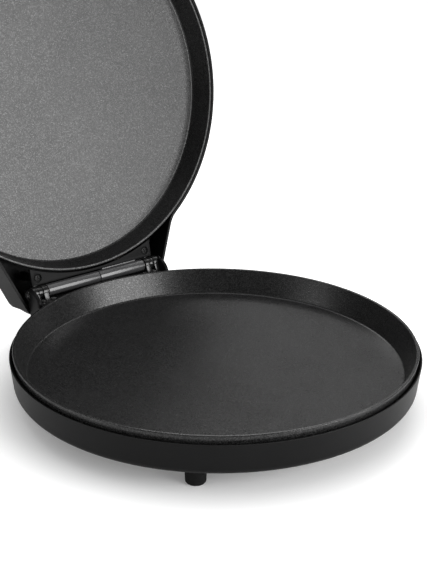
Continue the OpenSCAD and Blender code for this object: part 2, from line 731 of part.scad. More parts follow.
module terminal_block() {
    color("ivory") in_frame() difference() {
        translate([-block_half_w, block_y - block_d / 2, block_seat_z])
            cube([2 * block_half_w, block_d, block_h]);
        for (s = [-1, 1]) translate([s * block_screw_x, block_y, block_seat_z - 1])
            cylinder(r = small_screw_r + screw_clear, h = block_h + 2, $fn = 48);
        for (x = terminal_x) translate([x, block_y, block_seat_z + block_h - 3.2])
            cylinder(r = small_screw_r, h = 4, $fn = 48);
    }
}
module terminal_screws() {
    top = block_seat_z + block_h;
    color("silver") in_frame() {
        for (s = [-1, 1]) translate([s * block_screw_x, block_y, top + small_head_h])
            screw(small_screw_r - 0.05, block_h + 2.2, small_head_r, small_head_h);
        for (x = terminal_x) translate([x, block_y, top + small_head_h])
            screw(small_screw_r - 0.05, 3, small_head_r, small_head_h);
    }
}
module base_wiring() {
    color("firebrick") on_lower_back() {
        wire([pin_end(-1, 0), pin_end(-1, 4), [cutout_x + 6, cutout_y, cutout_r],
            [cutout_x, cutout_y, cutout_r]]);
        wire([[cutout_x - cutout_len, cutout_y, cutout_r], [cutout_x - cutout_len - 3, cutout_y, cutout_r],
            [-block_half_w - 11, block_y, wire_entry_h], [-block_half_w, block_y, wire_entry_h]]);
        wire([pin_end(1, 0), pin_end(1, 4), [terminal_x[2], block_front_y - 6, wire_entry_h],
            [terminal_x[2], block_front_y, wire_entry_h]]);
        wire([blade_end(3), [3, 100, blade_wire_h], [0, block_front_y - 7, wire_entry_h],
            [0, block_front_y, wire_entry_h]]);
    }
}
module cord_gland() {
    neck_start = inlet_seat_reach - gland_nut_t - 0.4;
    color("#1c1c1d") in_frame() inlet_axis() difference() {
        union() {
            translate([0, 0, neck_start])
                cylinder(r = gland_neck_r, h = inlet_boss_reach - neck_start + 1, $fn = 64);
            translate([0, 0, inlet_boss_reach]) cylinder(r = gland_collar_r, h = 2.5, $fn = 64);
            translate([0, 0, inlet_boss_reach + 2])
                cylinder(r1 = gland_neck_r, r2 = gland_bore_r + 1.2, h = gland_nose, $fn = 64);
        }
        cylinder(r = gland_bore_r, h = inlet_boss_reach + gland_nose + 5, $fn = 64);
    }
}
module gland_nut() {
    color("#303031") in_frame() inlet_axis() difference() {
        translate([0, 0, inlet_seat_reach - gland_nut_t])
            cylinder(r = gland_nut_r, h = gland_nut_t, $fn = 6);
        cylinder(r = gland_neck_r + rod_clear, h = inlet_seat_reach + 1, $fn = 64);
    }
}
module foot() {
    difference() {
        rotate_extrude($fn = 64) polygon(concat(
            [[0, 0], [foot_r - foot_edge_r - 0.4, 0]],
            arc(foot_r - foot_edge_r, foot_edge_r, foot_edge_r, -85, 0, 6),
            [[foot_r, foot_h], [0, foot_h]]));
        translate([0, 0, -1]) cylinder(r = screw_r + screw_clear, h = foot_h + 2, $fn = 48);
        translate([0, 0, -1]) cylinder(r = head_r + screw_clear, h = foot_h / 2 + 1, $fn = 48);
    }
}
module foot_at(i) {
    color("#0e0e0e") in_frame() ring_of([foot_angles[i]], foot_circle_r) foot();
}
module foot_front_left() {
    foot_at(0);
}
module foot_front_right() {
    foot_at(1);
}
module foot_rear_left() {
    foot_at(2);
}
module foot_rear_right() {
    foot_at(3);
}
module foot_screws() {
    color("silver") in_frame() ring_of(foot_angles, foot_circle_r)
        translate([0, 0, foot_h / 2 - head_h]) mirror([0, 0, 1])
            screw(screw_r - 0.05, foot_h / 2 + 6, head_r, head_h);
}

// Hinge

module ear_outline() {
    translate([hinge_y, hinge_z]) circle(r = ear_r, $fn = 96);
    polygon([[hinge_y - ear_r, hinge_z], [hinge_y - 10, plate_z + seam],
        [hinge_y - 1.4, plate_z + seam], [hinge_y + ear_r - 1, hinge_z - ear_r / 2],
        [hinge_y, hinge_z]]);
}
module hinge_plate() {
    color("darkgray") in_frame() difference() {
        union() {
            difference() {
                translate([-ear_half_w, hinge_y - 25, plate_z])
                    cube([2 * ear_half_w, 25 + stop_y(plate_z) - hinge_y - 0.3, plate_t]);
                translate([0, 0, plate_z - 1]) cylinder(r = shell_r + 0.4, h = plate_t + 2, $fn = 180);
            }
            both_sides() {
                along_x(ear_inner_x, ear_inner_x + ear_w) ear_outline();
                along_x(ear_outer_x, ear_outer_x + ear_w) ear_outline();
            }
        }
        rod_along_x(-rod_end_x, rod_end_x, rod_bore_r);
        both_sides() for (x = plate_screw_x) translate([x, plate_screw_y, plate_z - 1])
            cylinder(r = small_screw_r + screw_clear, h = plate_t + 2, $fn = 48);
    }
}
module hinge_plate_screws() {
    color("silver") in_frame() both_sides() for (x = plate_screw_x)
        translate([x, plate_screw_y, plate_z + plate_t + small_head_h])
            screw(small_screw_r - 0.05, plate_screw_len, plate_head_r, small_head_h);
}
module hinge_rod() {
    color("silver") in_frame() rod_along_x(-rod_end_x, rod_end_x, rod_r);
}
module rod_push_nuts() {
    x = lug_x + lug_t;
    color("silver") in_frame() both_sides() difference() {
        rod_along_x(x, x + push_nut_t, push_nut_r);
        rod_along_x(x - 1, x + push_nut_t + 1, rod_r + rod_clear / 2);
    }
}
module thrust_washers() {
    x = barrel_end_x + side_play / 2;
    color("silver") in_frame() both_sides() difference() {
        rod_along_x(x, x + washer_t, barrel_r - 0.4);
        rod_along_x(x - 1, x + washer_t + 1, rod_bore_r);
    }
}
module left_barrel() {
    color("#3a3a3b") in_frame() difference() {
        rod_along_x(-barrel_end_x, barrel_joint_x - barrel_gap / 2, barrel_r);
        rod_along_x(-barrel_end_x - 1, barrel_joint_x + 1, rod_bore_r);
    }
}
module right_barrel() {
    rib_y = hinge_y - cover_clear + 0.05;
    color("#3a3a3b") on_lid() translate([0, 0, -lid_rim_z]) difference() {
        union() {
            rod_along_x(barrel_joint_x + barrel_gap / 2, barrel_end_x, barrel_r);
            translate([barrel_joint_x + 6, rib_y, hinge_z + closed_gap / 2 + 0.3])
                cube([barrel_end_x - barrel_joint_x - 12, cover_clear - rod_r - 1, 1.6]);
        }
        rod_along_x(barrel_joint_x - 1, barrel_end_x + 1, rod_bore_r);
    }
}

// Lid, with the rim's plane at zero height

module dome_solid(o) {
    rotate_extrude($fn = 180) polygon(concat(
        [[0, o > 0 ? -1 : 0], [shell_r - o, o > 0 ? -1 : 0]], dome_line(o)));
}
// Plan of the tail, o inside its outer surface
function tail_plan(o) =
    let (
        out = [cos(tail_taper), sin(tail_taper)],
        side_d = tail_half_w * out[0] + tail_back_y * out[1],
        hollow_d = side_d + tail_sweep_r,
        along = sqrt(pow(shell_r + tail_sweep_r, 2) - hollow_d * hollow_d),
        cx = hollow_d * out[0] - along * out[1],
        cy = hollow_d * out[1] + along * out[0],
        corner_y = tail_back_y - tail_corner_r,
        corner_x = (side_d - tail_corner_r - corner_y * out[1]) / out[0],
        side = concat(
            arc(cx, cy, tail_sweep_r + o, 180 + atan2(cy, cx), 180 + tail_taper, 8),
            arc(corner_x, corner_y, tail_corner_r - o, tail_taper, 90, 8)))
    concat([[0, 40]], side, [for (p = reversed(side)) [-p[0], p[1]]]);
// Side view of the tail, o inside its outer surface
module tail_side(o) {
    low = o > 0 ? -1 : 0;
    back_y = tail_back_y - o;
    polygon([[30, low], [back_y, low], [back_y - tail_back_lean * 0.4, tail_back_h * 0.2],
        [back_y - tail_back_lean * 0.8, tail_back_h * 0.46], [back_y - tail_back_lean, tail_back_h - o],
        [back_y - tail_back_lean - 3, tail_top_h - o], [30, tail_top_h - o]]);
}
module tail_solid(o) {
    intersection() {
        translate([0, 0, -1]) linear_extrude(60) polygon(tail_plan(o));
        along_x(-shell_r, shell_r) tail_side(o);
    }
}
module lid_posts() {
    intersection() {
        union() {
            ring_of(upper_post_angles, upper_post_circle_r)
                translate([0, 0, upper_seat_h]) cylinder(r = post_r, h = 20, $fn = 48);
            both_sides() translate([strap_x, lid_screw_y, cover_t + strap_t])
                cylinder(r = 4, h = 40, $fn = 48);
        }
        union() {
            dome_solid(0);
            tail_solid(0);
        }
    }
}
module handle_screw_axis(s) {
    a = asin(handle_screw_x / shell_r);
    rotate([0, 0, -90 + s * a]) translate([0, 0, handle_mid_h]) rotate([0, 90, 0]) children();
}
module lid_shell() {
    color("#242526") on_lid() difference() {
        union() {
            difference() {
                union() {
                    dome_solid(0);
                    tail_solid(0);
                }
                dome_solid(shell_t);
                tail_solid(shell_t);
            }
            lid_posts();
        }
        ring_of(upper_post_angles, upper_post_circle_r) {
            cylinder(r = screw_r + screw_clear, h = crown_h, $fn = 48);
            translate([0, 0, upper_head_h]) cylinder(r = head_r + screw_clear, h = 20, $fn = 48);
        }
        both_sides() translate([strap_x, lid_screw_y, 0])
            cylinder(r = screw_r, h = cover_t + strap_t + lid_screw_len, $fn = 48);
        for (s = [-1, 1]) handle_screw_axis(s)
            translate([0, 0, shell_r - 12]) cylinder(r = screw_r + screw_clear, h = 20, $fn = 48);
        for (s = [-1, 1]) translate([s * lamp_x, -lamp_y, 0])
            cylinder(r = lens_r + 0.1, h = crown_h, $fn = 48);
    }
}
module lid_hinge_cover() {
    front = hinge_y - 26;
    back = hinge_y - cover_clear;
    color("#3c3d3e") on_lid() difference() {
        translate([-cover_half_w, front, 0]) cube([2 * cover_half_w, back - front, cover_t]);
        translate([0, 0, -1]) cylinder(r = rim_r + cover_gap, h = cover_t + 2, $fn = 180);
        both_sides() translate([strap_x, lid_screw_y, -1]) {
            cylinder(r = screw_r + screw_clear, h = cover_t + 2, $fn = 48);
            cylinder(r = head_r + screw_clear, h = head_h - 0.6 + 1, $fn = 48);
        }
    }
}
module lid_hinge_screws() {
    color("silver") on_lid() both_sides() translate([strap_x, lid_screw_y, -0.6]) mirror([0, 0, 1])
        screw(screw_r - 0.05, lid_screw_len, head_r, head_h);
}
module hinge_strap(s) {
    color("darkgray") on_lid() translate([0, 0, -lid_rim_z]) scale_x(s) difference() {
        union() {
            rod_along_x(knuckle_x - knuckle_w / 2, knuckle_x + knuckle_w / 2, knuckle_r);
            translate([knuckle_x - knuckle_w / 2, hinge_y - strap_len, strap_z])
                cube([knuckle_w, strap_len, strap_t]);
            translate([strap_x - strap_w / 2, hinge_y - strap_len, strap_z])
                cube([strap_w, strap_len - ear_r - 1, strap_t]);
        }
        translate([0, 0, lid_rim_z]) cylinder(r = rim_r + cover_gap, h = knuckle_r + 1, $fn = 180);
        rod_along_x(strap_x - strap_w, strap_x + strap_w, rod_bore_r);
        translate([strap_x, lid_screw_y, strap_z - 1])
            cylinder(r = screw_r + screw_clear, h = strap_t + 2, $fn = 48);
    }
}
module hinge_strap_left() {
    hinge_strap(-1);
}
module hinge_strap_right() {
    hinge_strap(1);
}
module upper_pan() {
    color("#6a6b6c") on_upper_back() pan(upper_floor_r, upper_post_circle_r, upper_post_angles);
}
module upper_pan_screws() {
    color("silver") on_lid() ring_of(upper_post_angles, upper_post_circle_r)
        translate([0, 0, upper_head_h + head_h])
            screw(screw_r - 0.05, upper_head_h - upper_back_h - 0.5, head_r, head_h);
}
module screw_plugs() {
    z = upper_head_h + head_h;
    color("#1a1a1b") on_lid() ring_of(upper_post_angles, upper_post_circle_r)
        translate([0, 0, z]) cylinder(r = head_r + screw_clear / 2, h = plug_t, $fn = 48);
}
module upper_reflector() {
    color("whitesmoke") on_upper_back() difference() {
        union() {
            translate([0, 0, upper_reflector_h])
                cylinder(r = upper_reflector_r, h = reflector_t, $fn = 180);
            ring_of(upper_post_angles, reflector_leg_circle_r)
                cylinder(r = reflector_leg_r, h = upper_reflector_h + seam, $fn = 48);
        }
        translate([0, thermostat_y, upper_reflector_h - 1])
            cylinder(r = thermostat_r + 4, h = 3, $fn = 48);
    }
}
// A wire's last stretch, over the upper pan's edge and down onto the connector
function into_connector(i) =
    let (x = connector_wire_x[i])
    [[x, edge_y(x), wire_lift], [x, connector_y, -5], [x, connector_y, connector_top_h]];
module lid_wiring() {
    color("firebrick") on_upper_back() {
        wire(concat([pin_end(1, 0), pin_end(1, 4), [22, 118, 2], [connector_wire_x[2], 132, wire_lift]],
            into_connector(2)));
        wire(concat([blade_end(3), blade_end(3) + [0, 5, 0], [3, thermostat_y + 11.5, reflector_wire_h],
            [3, 104, reflector_wire_h], [3, 122, 3], [connector_wire_x[1], 140, wire_lift]],
            into_connector(1)));
        wire(concat([pin_end(-1, 0), pin_end(-1, 4), [-3, 126, 1.6], [connector_wire_x[0], 146, wire_lift]],
            into_connector(0)));
        for (s = [-1, 1]) wire([[s * lamp_x, lamp_r - lamp_y, 6], [s * lamp_x, 5 - lamp_y, 6],
            [s * lamp_x, 5 - lamp_y, lamp_wire_h - 0.7], [s * lamp_x, 22 - lamp_y, lamp_wire_h],
            [s * 3, thermostat_y, lamp_wire_h], [s * 3, thermostat_y, thermostat_h + blade_h]]);
    }
}
module lid_connector() {
    x = connector_wire_x[0] - connector_margin;
    w = connector_wire_x[2] + connector_margin - x;
    color("ivory") on_lid() translate([x, connector_back_y - connector_d, cover_t])
        cube([w, connector_d, connector_h]);
}
module lid_handle() {
    front = handle_front_y;
    w = handle_half_w;
    cr = handle_corner_r;
    color("#1e1f20") on_lid() difference() {
        translate([0, 0, handle_low]) linear_extrude(handle_t) difference() {
            polygon(concat(
                [[w, -shell_r + 20]],
                reversed(arc(w - cr, front + cr, cr, -90, 0, 8)),
                [for (p = arc(w - cr, front + cr, cr, -90, 0, 8)) [-p[0], p[1]]],
                [[-w, -shell_r + 20]]));
            polygon(concat(
                [[w - handle_arm, -shell_r + 21]],
                reversed(arc(w - handle_arm - 5, front + handle_bar + 5, 5, -90, 0, 6)),
                [for (p = arc(w - handle_arm - 5, front + handle_bar + 5, 5, -90, 0, 6)) [-p[0], p[1]]],
                [[handle_arm - w, -shell_r + 21]]));
        }
        rotate_extrude($fn = 180) polygon([[0, -1], [shell_r + 0.05, -1], [shell_r + 0.05, 0],
            [shell_r - wall_lean + 0.05, lid_wall_h], [shell_r - wall_lean + 0.05, 60], [0, 60]]);
        for (s = [-1, 1]) handle_screw_axis(s)
            cylinder(r = screw_r, h = shell_r + handle_screw_len - 1, $fn = 48);
    }
}
module handle_screws() {
    color("silver") on_lid() for (s = [-1, 1]) handle_screw_axis(s)
        translate([0, 0, shell_r - wall_lean - shell_t - 0.2]) mirror([0, 0, 1])
            translate([0, 0, 1]) screw(screw_r - 0.05, handle_screw_len, head_r, 1);
}
module lens(s) {
    translate([s * lamp_x, -lamp_y, 0]) {
        translate([0, 0, crown_at(lamp_y, shell_t)])
            cylinder(r = lens_r, h = crown_at(lamp_y, 0) - crown_at(lamp_y, shell_t) + 0.6, $fn = 48);
        translate([0, 0, crown_at(lamp_y, shell_t) - 1])
            cylinder(r = lamp_r, h = 1 + seam, $fn = 48);
    }
}
module power_lens() {
    color("red") on_lid() lens(-1);
}
module ready_lens() {
    color("limegreen") on_lid() lens(1);
}
module lamp_holders() {
    top = crown_at(lamp_y, shell_t) - 1;
    color("whitesmoke") on_lid() for (s = [-1, 1]) translate([s * lamp_x, -lamp_y, top - 6])
        cylinder(r = lamp_r, h = 6, $fn = 48);
}

base_shell();
bottom_cover();
bottom_cover_screws();
lower_pan();
lower_pan_screws();
on_lower_back() element();  // lower_element
on_lower_back() element_pins();  // lower_element_pins
on_lower_back() element_clips();  // lower_element_clips
on_lower_back() clip_screws();  // lower_clip_screws
lower_reflector();
on_lower_back() thermostat();  // lower_thermostat
on_lower_back() thermostat_bracket();  // lower_thermostat_bracket
thermal_cutout();
terminal_block();
terminal_screws();
base_wiring();
cord_gland();
gland_nut();
foot_front_left();
foot_front_right();
foot_rear_left();
foot_rear_right();
foot_screws();
hinge_plate();
hinge_plate_screws();
hinge_rod();
rod_push_nuts();
thrust_washers();
left_barrel();
lid_shell();
lid_hinge_cover();
lid_hinge_screws();
hinge_strap_left();
hinge_strap_right();
right_barrel();
upper_pan();
upper_pan_screws();
screw_plugs();
on_upper_back() element();  // upper_element
on_upper_back() element_pins();  // upper_element_pins
on_upper_back() element_clips();  // upper_element_clips
on_upper_back() clip_screws();  // upper_clip_screws
upper_reflector();
on_upper_back() thermostat();  // upper_thermostat
on_upper_back() thermostat_bracket();  // upper_thermostat_bracket
lid_wiring();
lid_connector();
lid_handle();
handle_screws();
power_lens();
ready_lens();
lamp_holders();
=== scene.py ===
"""Electric pizza maker with a hinged lid: its finishes, rounded pieces and studio."""

import json
import logging
import math
from dataclasses import dataclass, replace
from enum import Enum
from typing import Callable, Optional, Sequence, Union

import bmesh
import bpy
from mathutils import Matrix, Vector


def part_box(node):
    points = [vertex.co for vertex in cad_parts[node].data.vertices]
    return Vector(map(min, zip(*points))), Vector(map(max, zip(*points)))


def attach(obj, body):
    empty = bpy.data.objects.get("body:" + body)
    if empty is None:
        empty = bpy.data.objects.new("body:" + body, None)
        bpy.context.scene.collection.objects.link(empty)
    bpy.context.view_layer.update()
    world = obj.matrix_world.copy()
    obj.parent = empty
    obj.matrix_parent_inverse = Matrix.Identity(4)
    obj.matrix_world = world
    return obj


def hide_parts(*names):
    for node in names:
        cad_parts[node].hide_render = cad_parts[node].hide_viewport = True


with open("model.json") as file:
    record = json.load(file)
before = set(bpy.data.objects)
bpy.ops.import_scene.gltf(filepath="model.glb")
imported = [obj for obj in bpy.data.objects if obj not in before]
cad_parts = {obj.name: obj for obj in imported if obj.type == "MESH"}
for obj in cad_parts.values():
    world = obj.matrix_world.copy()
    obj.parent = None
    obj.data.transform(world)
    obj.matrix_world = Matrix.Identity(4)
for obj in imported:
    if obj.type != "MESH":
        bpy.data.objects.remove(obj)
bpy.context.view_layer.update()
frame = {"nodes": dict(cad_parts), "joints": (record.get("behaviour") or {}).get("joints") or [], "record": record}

log = logging.getLogger("pizza_maker")
MM = 0.001

Point = tuple[float, float]
Triple = tuple[float, float, float]
Colour = Triple
Radius = Union[float, Callable[[float], float]]
Value = Union["Strand", float, Sequence[float]]


def tint(tone: float, share: float = 1.0, blue: float = 0.0) -> Colour:
    """Grey of a tone times a share, with a little more blue."""
    return tone * share, tone * share, tone * (share + blue)


class Strand:
    """A node's output, on which Python's operators add Math nodes."""

    def __init__(self, graph: "Graph", socket: bpy.types.NodeSocket) -> None:
        """Wraps one output socket.

        Args:
            graph: The finish's nodes.
            socket: The output that this strand stands for.
        """
        self.graph = graph
        self.socket = socket

    def __add__(self, other: Value) -> "Strand":
        """Sum with a strand or number."""
        return self.graph.math("ADD", self, other)

    def __radd__(self, other: Value) -> "Strand":
        """Sum with a number on the left."""
        return self.graph.math("ADD", other, self)

    def __sub__(self, other: Value) -> "Strand":
        """Difference with a strand or number."""
        return self.graph.math("SUBTRACT", self, other)

    def __rsub__(self, other: Value) -> "Strand":
        """Difference with a number on the left."""
        return self.graph.math("SUBTRACT", other, self)

    def __mul__(self, other: Value) -> "Strand":
        """Product with a strand or number."""
        return self.graph.math("MULTIPLY", self, other)

    def __rmul__(self, other: Value) -> "Strand":
        """Product with a number on the left."""
        return self.graph.math("MULTIPLY", other, self)

    def step(self, low: float, high: float) -> "Strand":
        """Smooth rise from 0 to 1 between two values.

        Args:
            low: Where the rise starts.
            high: Where it ends.

        Returns:
            The rise.
        """
        node = self.graph.node(
            "ShaderNodeMapRange",
            {"interpolation_type": "SMOOTHSTEP"},
            {"Value": self, "From Min": low, "From Max": high},
        )
        return Strand(self.graph, node.outputs["Result"])


class Graph:
    """The nodes of one finish or of the studio's surroundings."""

    def __init__(self, owner: Union[bpy.types.Material, bpy.types.World]) -> None:
        """Empties the owner's node tree.

        Args:
            owner: The material or world that holds the nodes.
        """
        owner.use_nodes = True
        self.tree = owner.node_tree
        self.tree.nodes.clear()

    def node(self, kind: str, settings: Optional[dict] = None,
             sockets: Optional[dict] = None) -> bpy.types.Node:
        """Adds one node, sets it and fills its sockets.

        Args:
            kind: The node's type.
            settings: Its own settings, set first.
            sockets: Values or strands by the socket's name or number.

        Returns:
            The new node.
        """
        node = self.tree.nodes.new(kind)
        for name, value in (settings or {}).items():
            setattr(node, name, value)
        for name, value in (sockets or {}).items():
            if isinstance(value, Strand):
                self.tree.links.new(value.socket, node.inputs[name])
            else:
                node.inputs[name].default_value = value
        return node

    def math(self, operation: str, *values: Value) -> Strand:
        """Adds a Math node.

        Args:
            operation: What it works out.
            values: Its inputs in order.

        Returns:
            The result.
        """
        node = self.node("ShaderNodeMath", {"operation": operation}, dict(enumerate(values)))
        return Strand(self, node.outputs[0])

    def place(self) -> Strand:
        """Place on the object in metres, the same at every pose."""
        return Strand(self, self.node("ShaderNodeTexCoord").outputs["Object"])

    def stretched(self, place: Strand, scale: Sequence[float]) -> Strand:
        """The place with each direction scaled by itself."""
        node = self.node("ShaderNodeVectorMath", {"operation": "MULTIPLY"}, {0: place, 1: scale})
        return Strand(self, node.outputs[0])

    def noise(self, place: Strand, size: float, detail: float = 3.0, rough: float = 0.5) -> Strand:
        """Soft noise.

        Args:
            place: Where it is read.
            size: Size of its patches in metres.
            detail: Number of finer layers.
            rough: Strength of the finer layers.

        Returns:
            The noise, from 0 to 1.
        """
        node = self.node("ShaderNodeTexNoise", None, {
            "Vector": place, "Scale": 1.0 / size, "Detail": detail, "Roughness": rough})
        return Strand(self, node.outputs["Fac"])

    def cells(self, place: Strand, size: float, spread: float = 1.0) -> tuple[Strand, Strand]:
        """Distance from scattered points, and a random value for each point.

        Args:
            place: Where it is read.
            size: Spacing of the points in metres.
            spread: How irregular they lie.

        Returns:
            The distance in spacings, and the random value.
        """
        node = self.node("ShaderNodeTexVoronoi", None, {
            "Vector": place, "Scale": 1.0 / size, "Randomness": spread})
        parts = self.node("ShaderNodeSeparateColor", None, {0: Strand(self, node.outputs["Color"])})
        return Strand(self, node.outputs["Distance"]), Strand(self, parts.outputs[0])

    def blend(self, amount: Value, first: Value, second: Value) -> Strand:
        """Colour between two colours.

        Args:
            amount: 0 for the first colour and 1 for the second.
            first: A colour or strand.
            second: A colour or strand.

        Returns:
            The mixed colour.
        """
        def full(value: Value) -> Value:
            """Gives a plain colour its fourth number."""
            return value if isinstance(value, Strand) else (*value, 1.0)
        node = self.node("ShaderNodeMix", {"data_type": "RGBA"},
                         {0: amount, 6: full(first), 7: full(second)})
        return Strand(self, node.outputs[2])

    def rounded_edges(self, radius: float) -> Strand:
        """Normal that turns softly over edges."""
        node = self.node("ShaderNodeBevel", {"samples": 4}, {"Radius": radius})
        return Strand(self, node.outputs[0])

    def worn_edges(self, rounded: Strand) -> Strand:
        """How far the rounded normal leaves the true one.

        Args:
            rounded: The rounded normal.

        Returns:
            The wear, from 0 on a flat to about 0.3 on an edge.
        """
        true = Strand(self, self.node("ShaderNodeNewGeometry").outputs["Normal"])
        dot = self.node("ShaderNodeVectorMath", {"operation": "DOT_PRODUCT"}, {0: rounded, 1: true})
        return 1.0 - Strand(self, dot.outputs["Value"])

    def bump(self, height: Strand, depth: float, normal: Strand, strength: float = 1.0) -> Strand:
        """Normal of a surface with small heights.

        Args:
            height: From 0 to 1.
            depth: Height of 1 in metres.
            normal: The normal under the bumps.
            strength: Share of the effect.

        Returns:
            The new normal.
        """
        node = self.node("ShaderNodeBump", None, {
            "Height": height, "Distance": depth, "Strength": strength, "Normal": normal})
        return Strand(self, node.outputs[0])

    def surface(self, sockets: dict) -> None:
        """Adds the main shader and the output.

        Args:
            sockets: The shader's values and strands by socket name.
        """
        shader = self.node("ShaderNodeBsdfPrincipled", None, sockets)
        self.node("ShaderNodeOutputMaterial", None, {"Surface": Strand(self, shader.outputs[0])})


@dataclass(frozen=True)
class Finish:
    """What every finish shares: its name, its rounding of edges and its build."""

    name: str
    edge: float = 0.35 * MM

    def start(self) -> tuple[bpy.types.Material, Graph, Strand, Strand]:
        """Makes the empty material.

        Returns:
            The material, its graph, the place strand and the rounded normal.
        """
        material = bpy.data.materials.new(self.name)
        graph = Graph(material)
        return material, graph, graph.place(), graph.rounded_edges(self.edge)

    def material(self) -> bpy.types.Material:
        """Builds the material."""
        raise NotImplementedError


@dataclass(frozen=True)
class MouldedPlastic(Finish):
    """Injection-moulded plastic with a fine spark-eroded texture."""

    tone: float = 0.0045
    roughness: float = 0.42
    grain: float = 0.7 * MM
    grain_depth: float = 0.012 * MM
    wear: float = 0.05
    drawn: Triple = (1.0, 1.0, 1.0)
    gloss: float = 0.13
    cloud: float = 45 * MM
    scuff: float = 2.5 * MM
    scuff_drawn: Triple = (1.0, 0.12, 0.6)

    def material(self) -> bpy.types.Material:
        """Builds the material."""
        material, g, place, round_normal = self.start()
        fine = g.noise(g.stretched(place, self.drawn), self.grain, rough=0.6)
        clouds = g.noise(place, self.cloud, rough=0.55)
        scuffs = g.noise(g.stretched(place, self.scuff_drawn), self.scuff, detail=4.0, rough=0.6)
        scuffs = scuffs.step(0.64, 0.78)
        edges = g.worn_edges(round_normal)
        body = g.blend(clouds.step(0.3, 0.7) * 0.6 + fine * 0.4,
                       tint(self.tone, 0.82, blue=0.03), tint(self.tone, 1.22, blue=0.03))
        worn = tint(self.tone + self.wear)
        g.surface({
            "Base Color": g.blend(edges * 1.6 + scuffs * 0.06, body, worn),
            "Roughness": (self.roughness + (clouds - 0.5) * 0.12 + (fine - 0.5) * 0.10
                          - scuffs * 0.08),
            "Specular IOR Level": self.gloss,
            "Normal": g.bump(fine, self.grain_depth, round_normal),
        })
        return material


@dataclass(frozen=True)
class NonStickCoat(Finish):
    """Sprayed non-stick coating with fine pale specks over cast metal."""

    tone: float = 0.006
    fleck: float = 0.11
    fleck_size: float = 0.7 * MM
    roughness: float = 0.29
    peel: float = 1.1 * MM
    peel_depth: float = 0.05 * MM
    cloud: float = 60 * MM
    gloss: float = 0.4

    def material(self) -> bpy.types.Material:
        """Builds the material."""
        material, g, place, round_normal = self.start()
        peel = g.noise(place, self.peel, rough=0.6)
        haze = g.noise(place, self.cloud)
        near, chance = g.cells(place, self.fleck_size)
        flakes = (1.0 - near.step(0.2, 0.7)) * chance.step(0.1, 1.0)
        body = g.blend(haze.step(0.35, 0.65) * 0.5 + peel * 0.5,
                       tint(self.tone, 0.8, blue=0.02), tint(self.tone, 1.25, blue=0.02))
        g.surface({
            "Base Color": g.blend(flakes, body, tint(self.fleck)),
            "Metallic": flakes,
            "Roughness": self.roughness + (peel - 0.5) * 0.22 + (haze - 0.5) * 0.08,
            "Specular IOR Level": self.gloss,
            "Normal": g.bump(peel, self.peel_depth, round_normal),
        })
        return material


@dataclass(frozen=True)
class BareMetal(Finish):
    """Plated or plain metal with fine drawn lines along one direction."""

    colour: Colour = (0.6, 0.6, 0.61)
    stain: Colour = (0.42, 0.41, 0.40)
    roughness: float = 0.3
    drawn: Triple = (0.04, 1.0, 1.0)
    line: float = 0.35 * MM
    line_depth: float = 0.008 * MM
    patch: float = 9 * MM

    def material(self) -> bpy.types.Material:
        """Builds the material."""
        material, g, place, round_normal = self.start()
        lines = g.noise(g.stretched(place, self.drawn), self.line, rough=0.65)
        patches = g.noise(place, self.patch, detail=4.0, rough=0.6)
        stained = patches.step(0.45, 0.75) * 0.7 + lines * 0.2
        g.surface({
            "Base Color": g.blend(stained, self.colour, self.stain),
            "Metallic": 1.0,
            "Roughness": self.roughness + (lines - 0.5) * 0.18 + (patches - 0.5) * 0.16,
            "Normal": g.bump(lines, self.line_depth, round_normal),
        })
        return material


@dataclass(frozen=True)
class PaintedSteel(Finish):
    """Steel with a thin coat of black paint, worn at its edges."""

    tone: float = 0.008
    bare: float = 0.22
    roughness: float = 0.24
    gloss: float = 0.6
    ripple: float = 1.6 * MM
    ripple_depth: float = 0.03 * MM
    dust: float = 0.4 * MM

    def material(self) -> bpy.types.Material:
        """Builds the material."""
        material, g, place, round_normal = self.start()
        ripple = g.noise(place, self.ripple, rough=0.55)
        dust = g.noise(place, self.dust, rough=0.6)
        worn = (g.worn_edges(round_normal) * 2.0 + ripple.step(0.55, 0.8) * 0.05).step(0.05, 0.5)
        body = g.blend(ripple, tint(self.tone, 0.8), tint(self.tone, 1.3))
        g.surface({
            "Base Color": g.blend(worn, body, tint(self.bare)),
            "Metallic": worn * 0.8,
            "Roughness": self.roughness + (dust - 0.5) * 0.14 + worn * 0.1,
            "Specular IOR Level": self.gloss,
            "Normal": g.bump(ripple, self.ripple_depth, round_normal),
        })
        return material


@dataclass(frozen=True)
class FiredClay(Finish):
    """Unglazed ceramic with small pores."""

    colour: Colour = (0.78, 0.74, 0.66)
    pore: float = 0.5 * MM
    pore_depth: float = 0.03 * MM
    cloud: float = 6 * MM

    def material(self) -> bpy.types.Material:
        """Builds the material."""
        material, g, place, round_normal = self.start()
        pores = g.noise(place, self.pore, detail=4.0, rough=0.7)
        clouds = g.noise(place, self.cloud)
        dark = tuple(part * 0.72 for part in self.colour)
        g.surface({
            "Base Color": g.blend(clouds * 0.6 + pores.step(0.6, 0.75) * 0.4, self.colour, dark),
            "Roughness": 0.62 + (pores - 0.5) * 0.2,
            "Normal": g.bump(pores, self.pore_depth, round_normal),
        })
        return material


@dataclass(frozen=True)
class WireSleeve(Finish):
    """Woven heat-proof sleeve of a wire."""

    colour: Colour = (0.42, 0.05, 0.035)
    thread: float = 0.45 * MM
    thread_depth: float = 0.08 * MM

    def material(self) -> bpy.types.Material:
        """Builds the material."""
        material, g, place, round_normal = self.start()
        near, chance = g.cells(place, self.thread, spread=0.35)
        dark = tuple(part * 0.5 for part in self.colour)
        g.surface({
            # Darker towards each thread's edge, where the bump sinks: painted shade between the threads, over a
            # real random tone for each thread.
            "Base Color": g.blend(near * 0.7 + chance * 0.3, self.colour, dark),
            "Roughness": 0.55 + near * 0.25,
            "Normal": g.bump(1.0 - near, self.thread_depth, round_normal),
        })
        return material


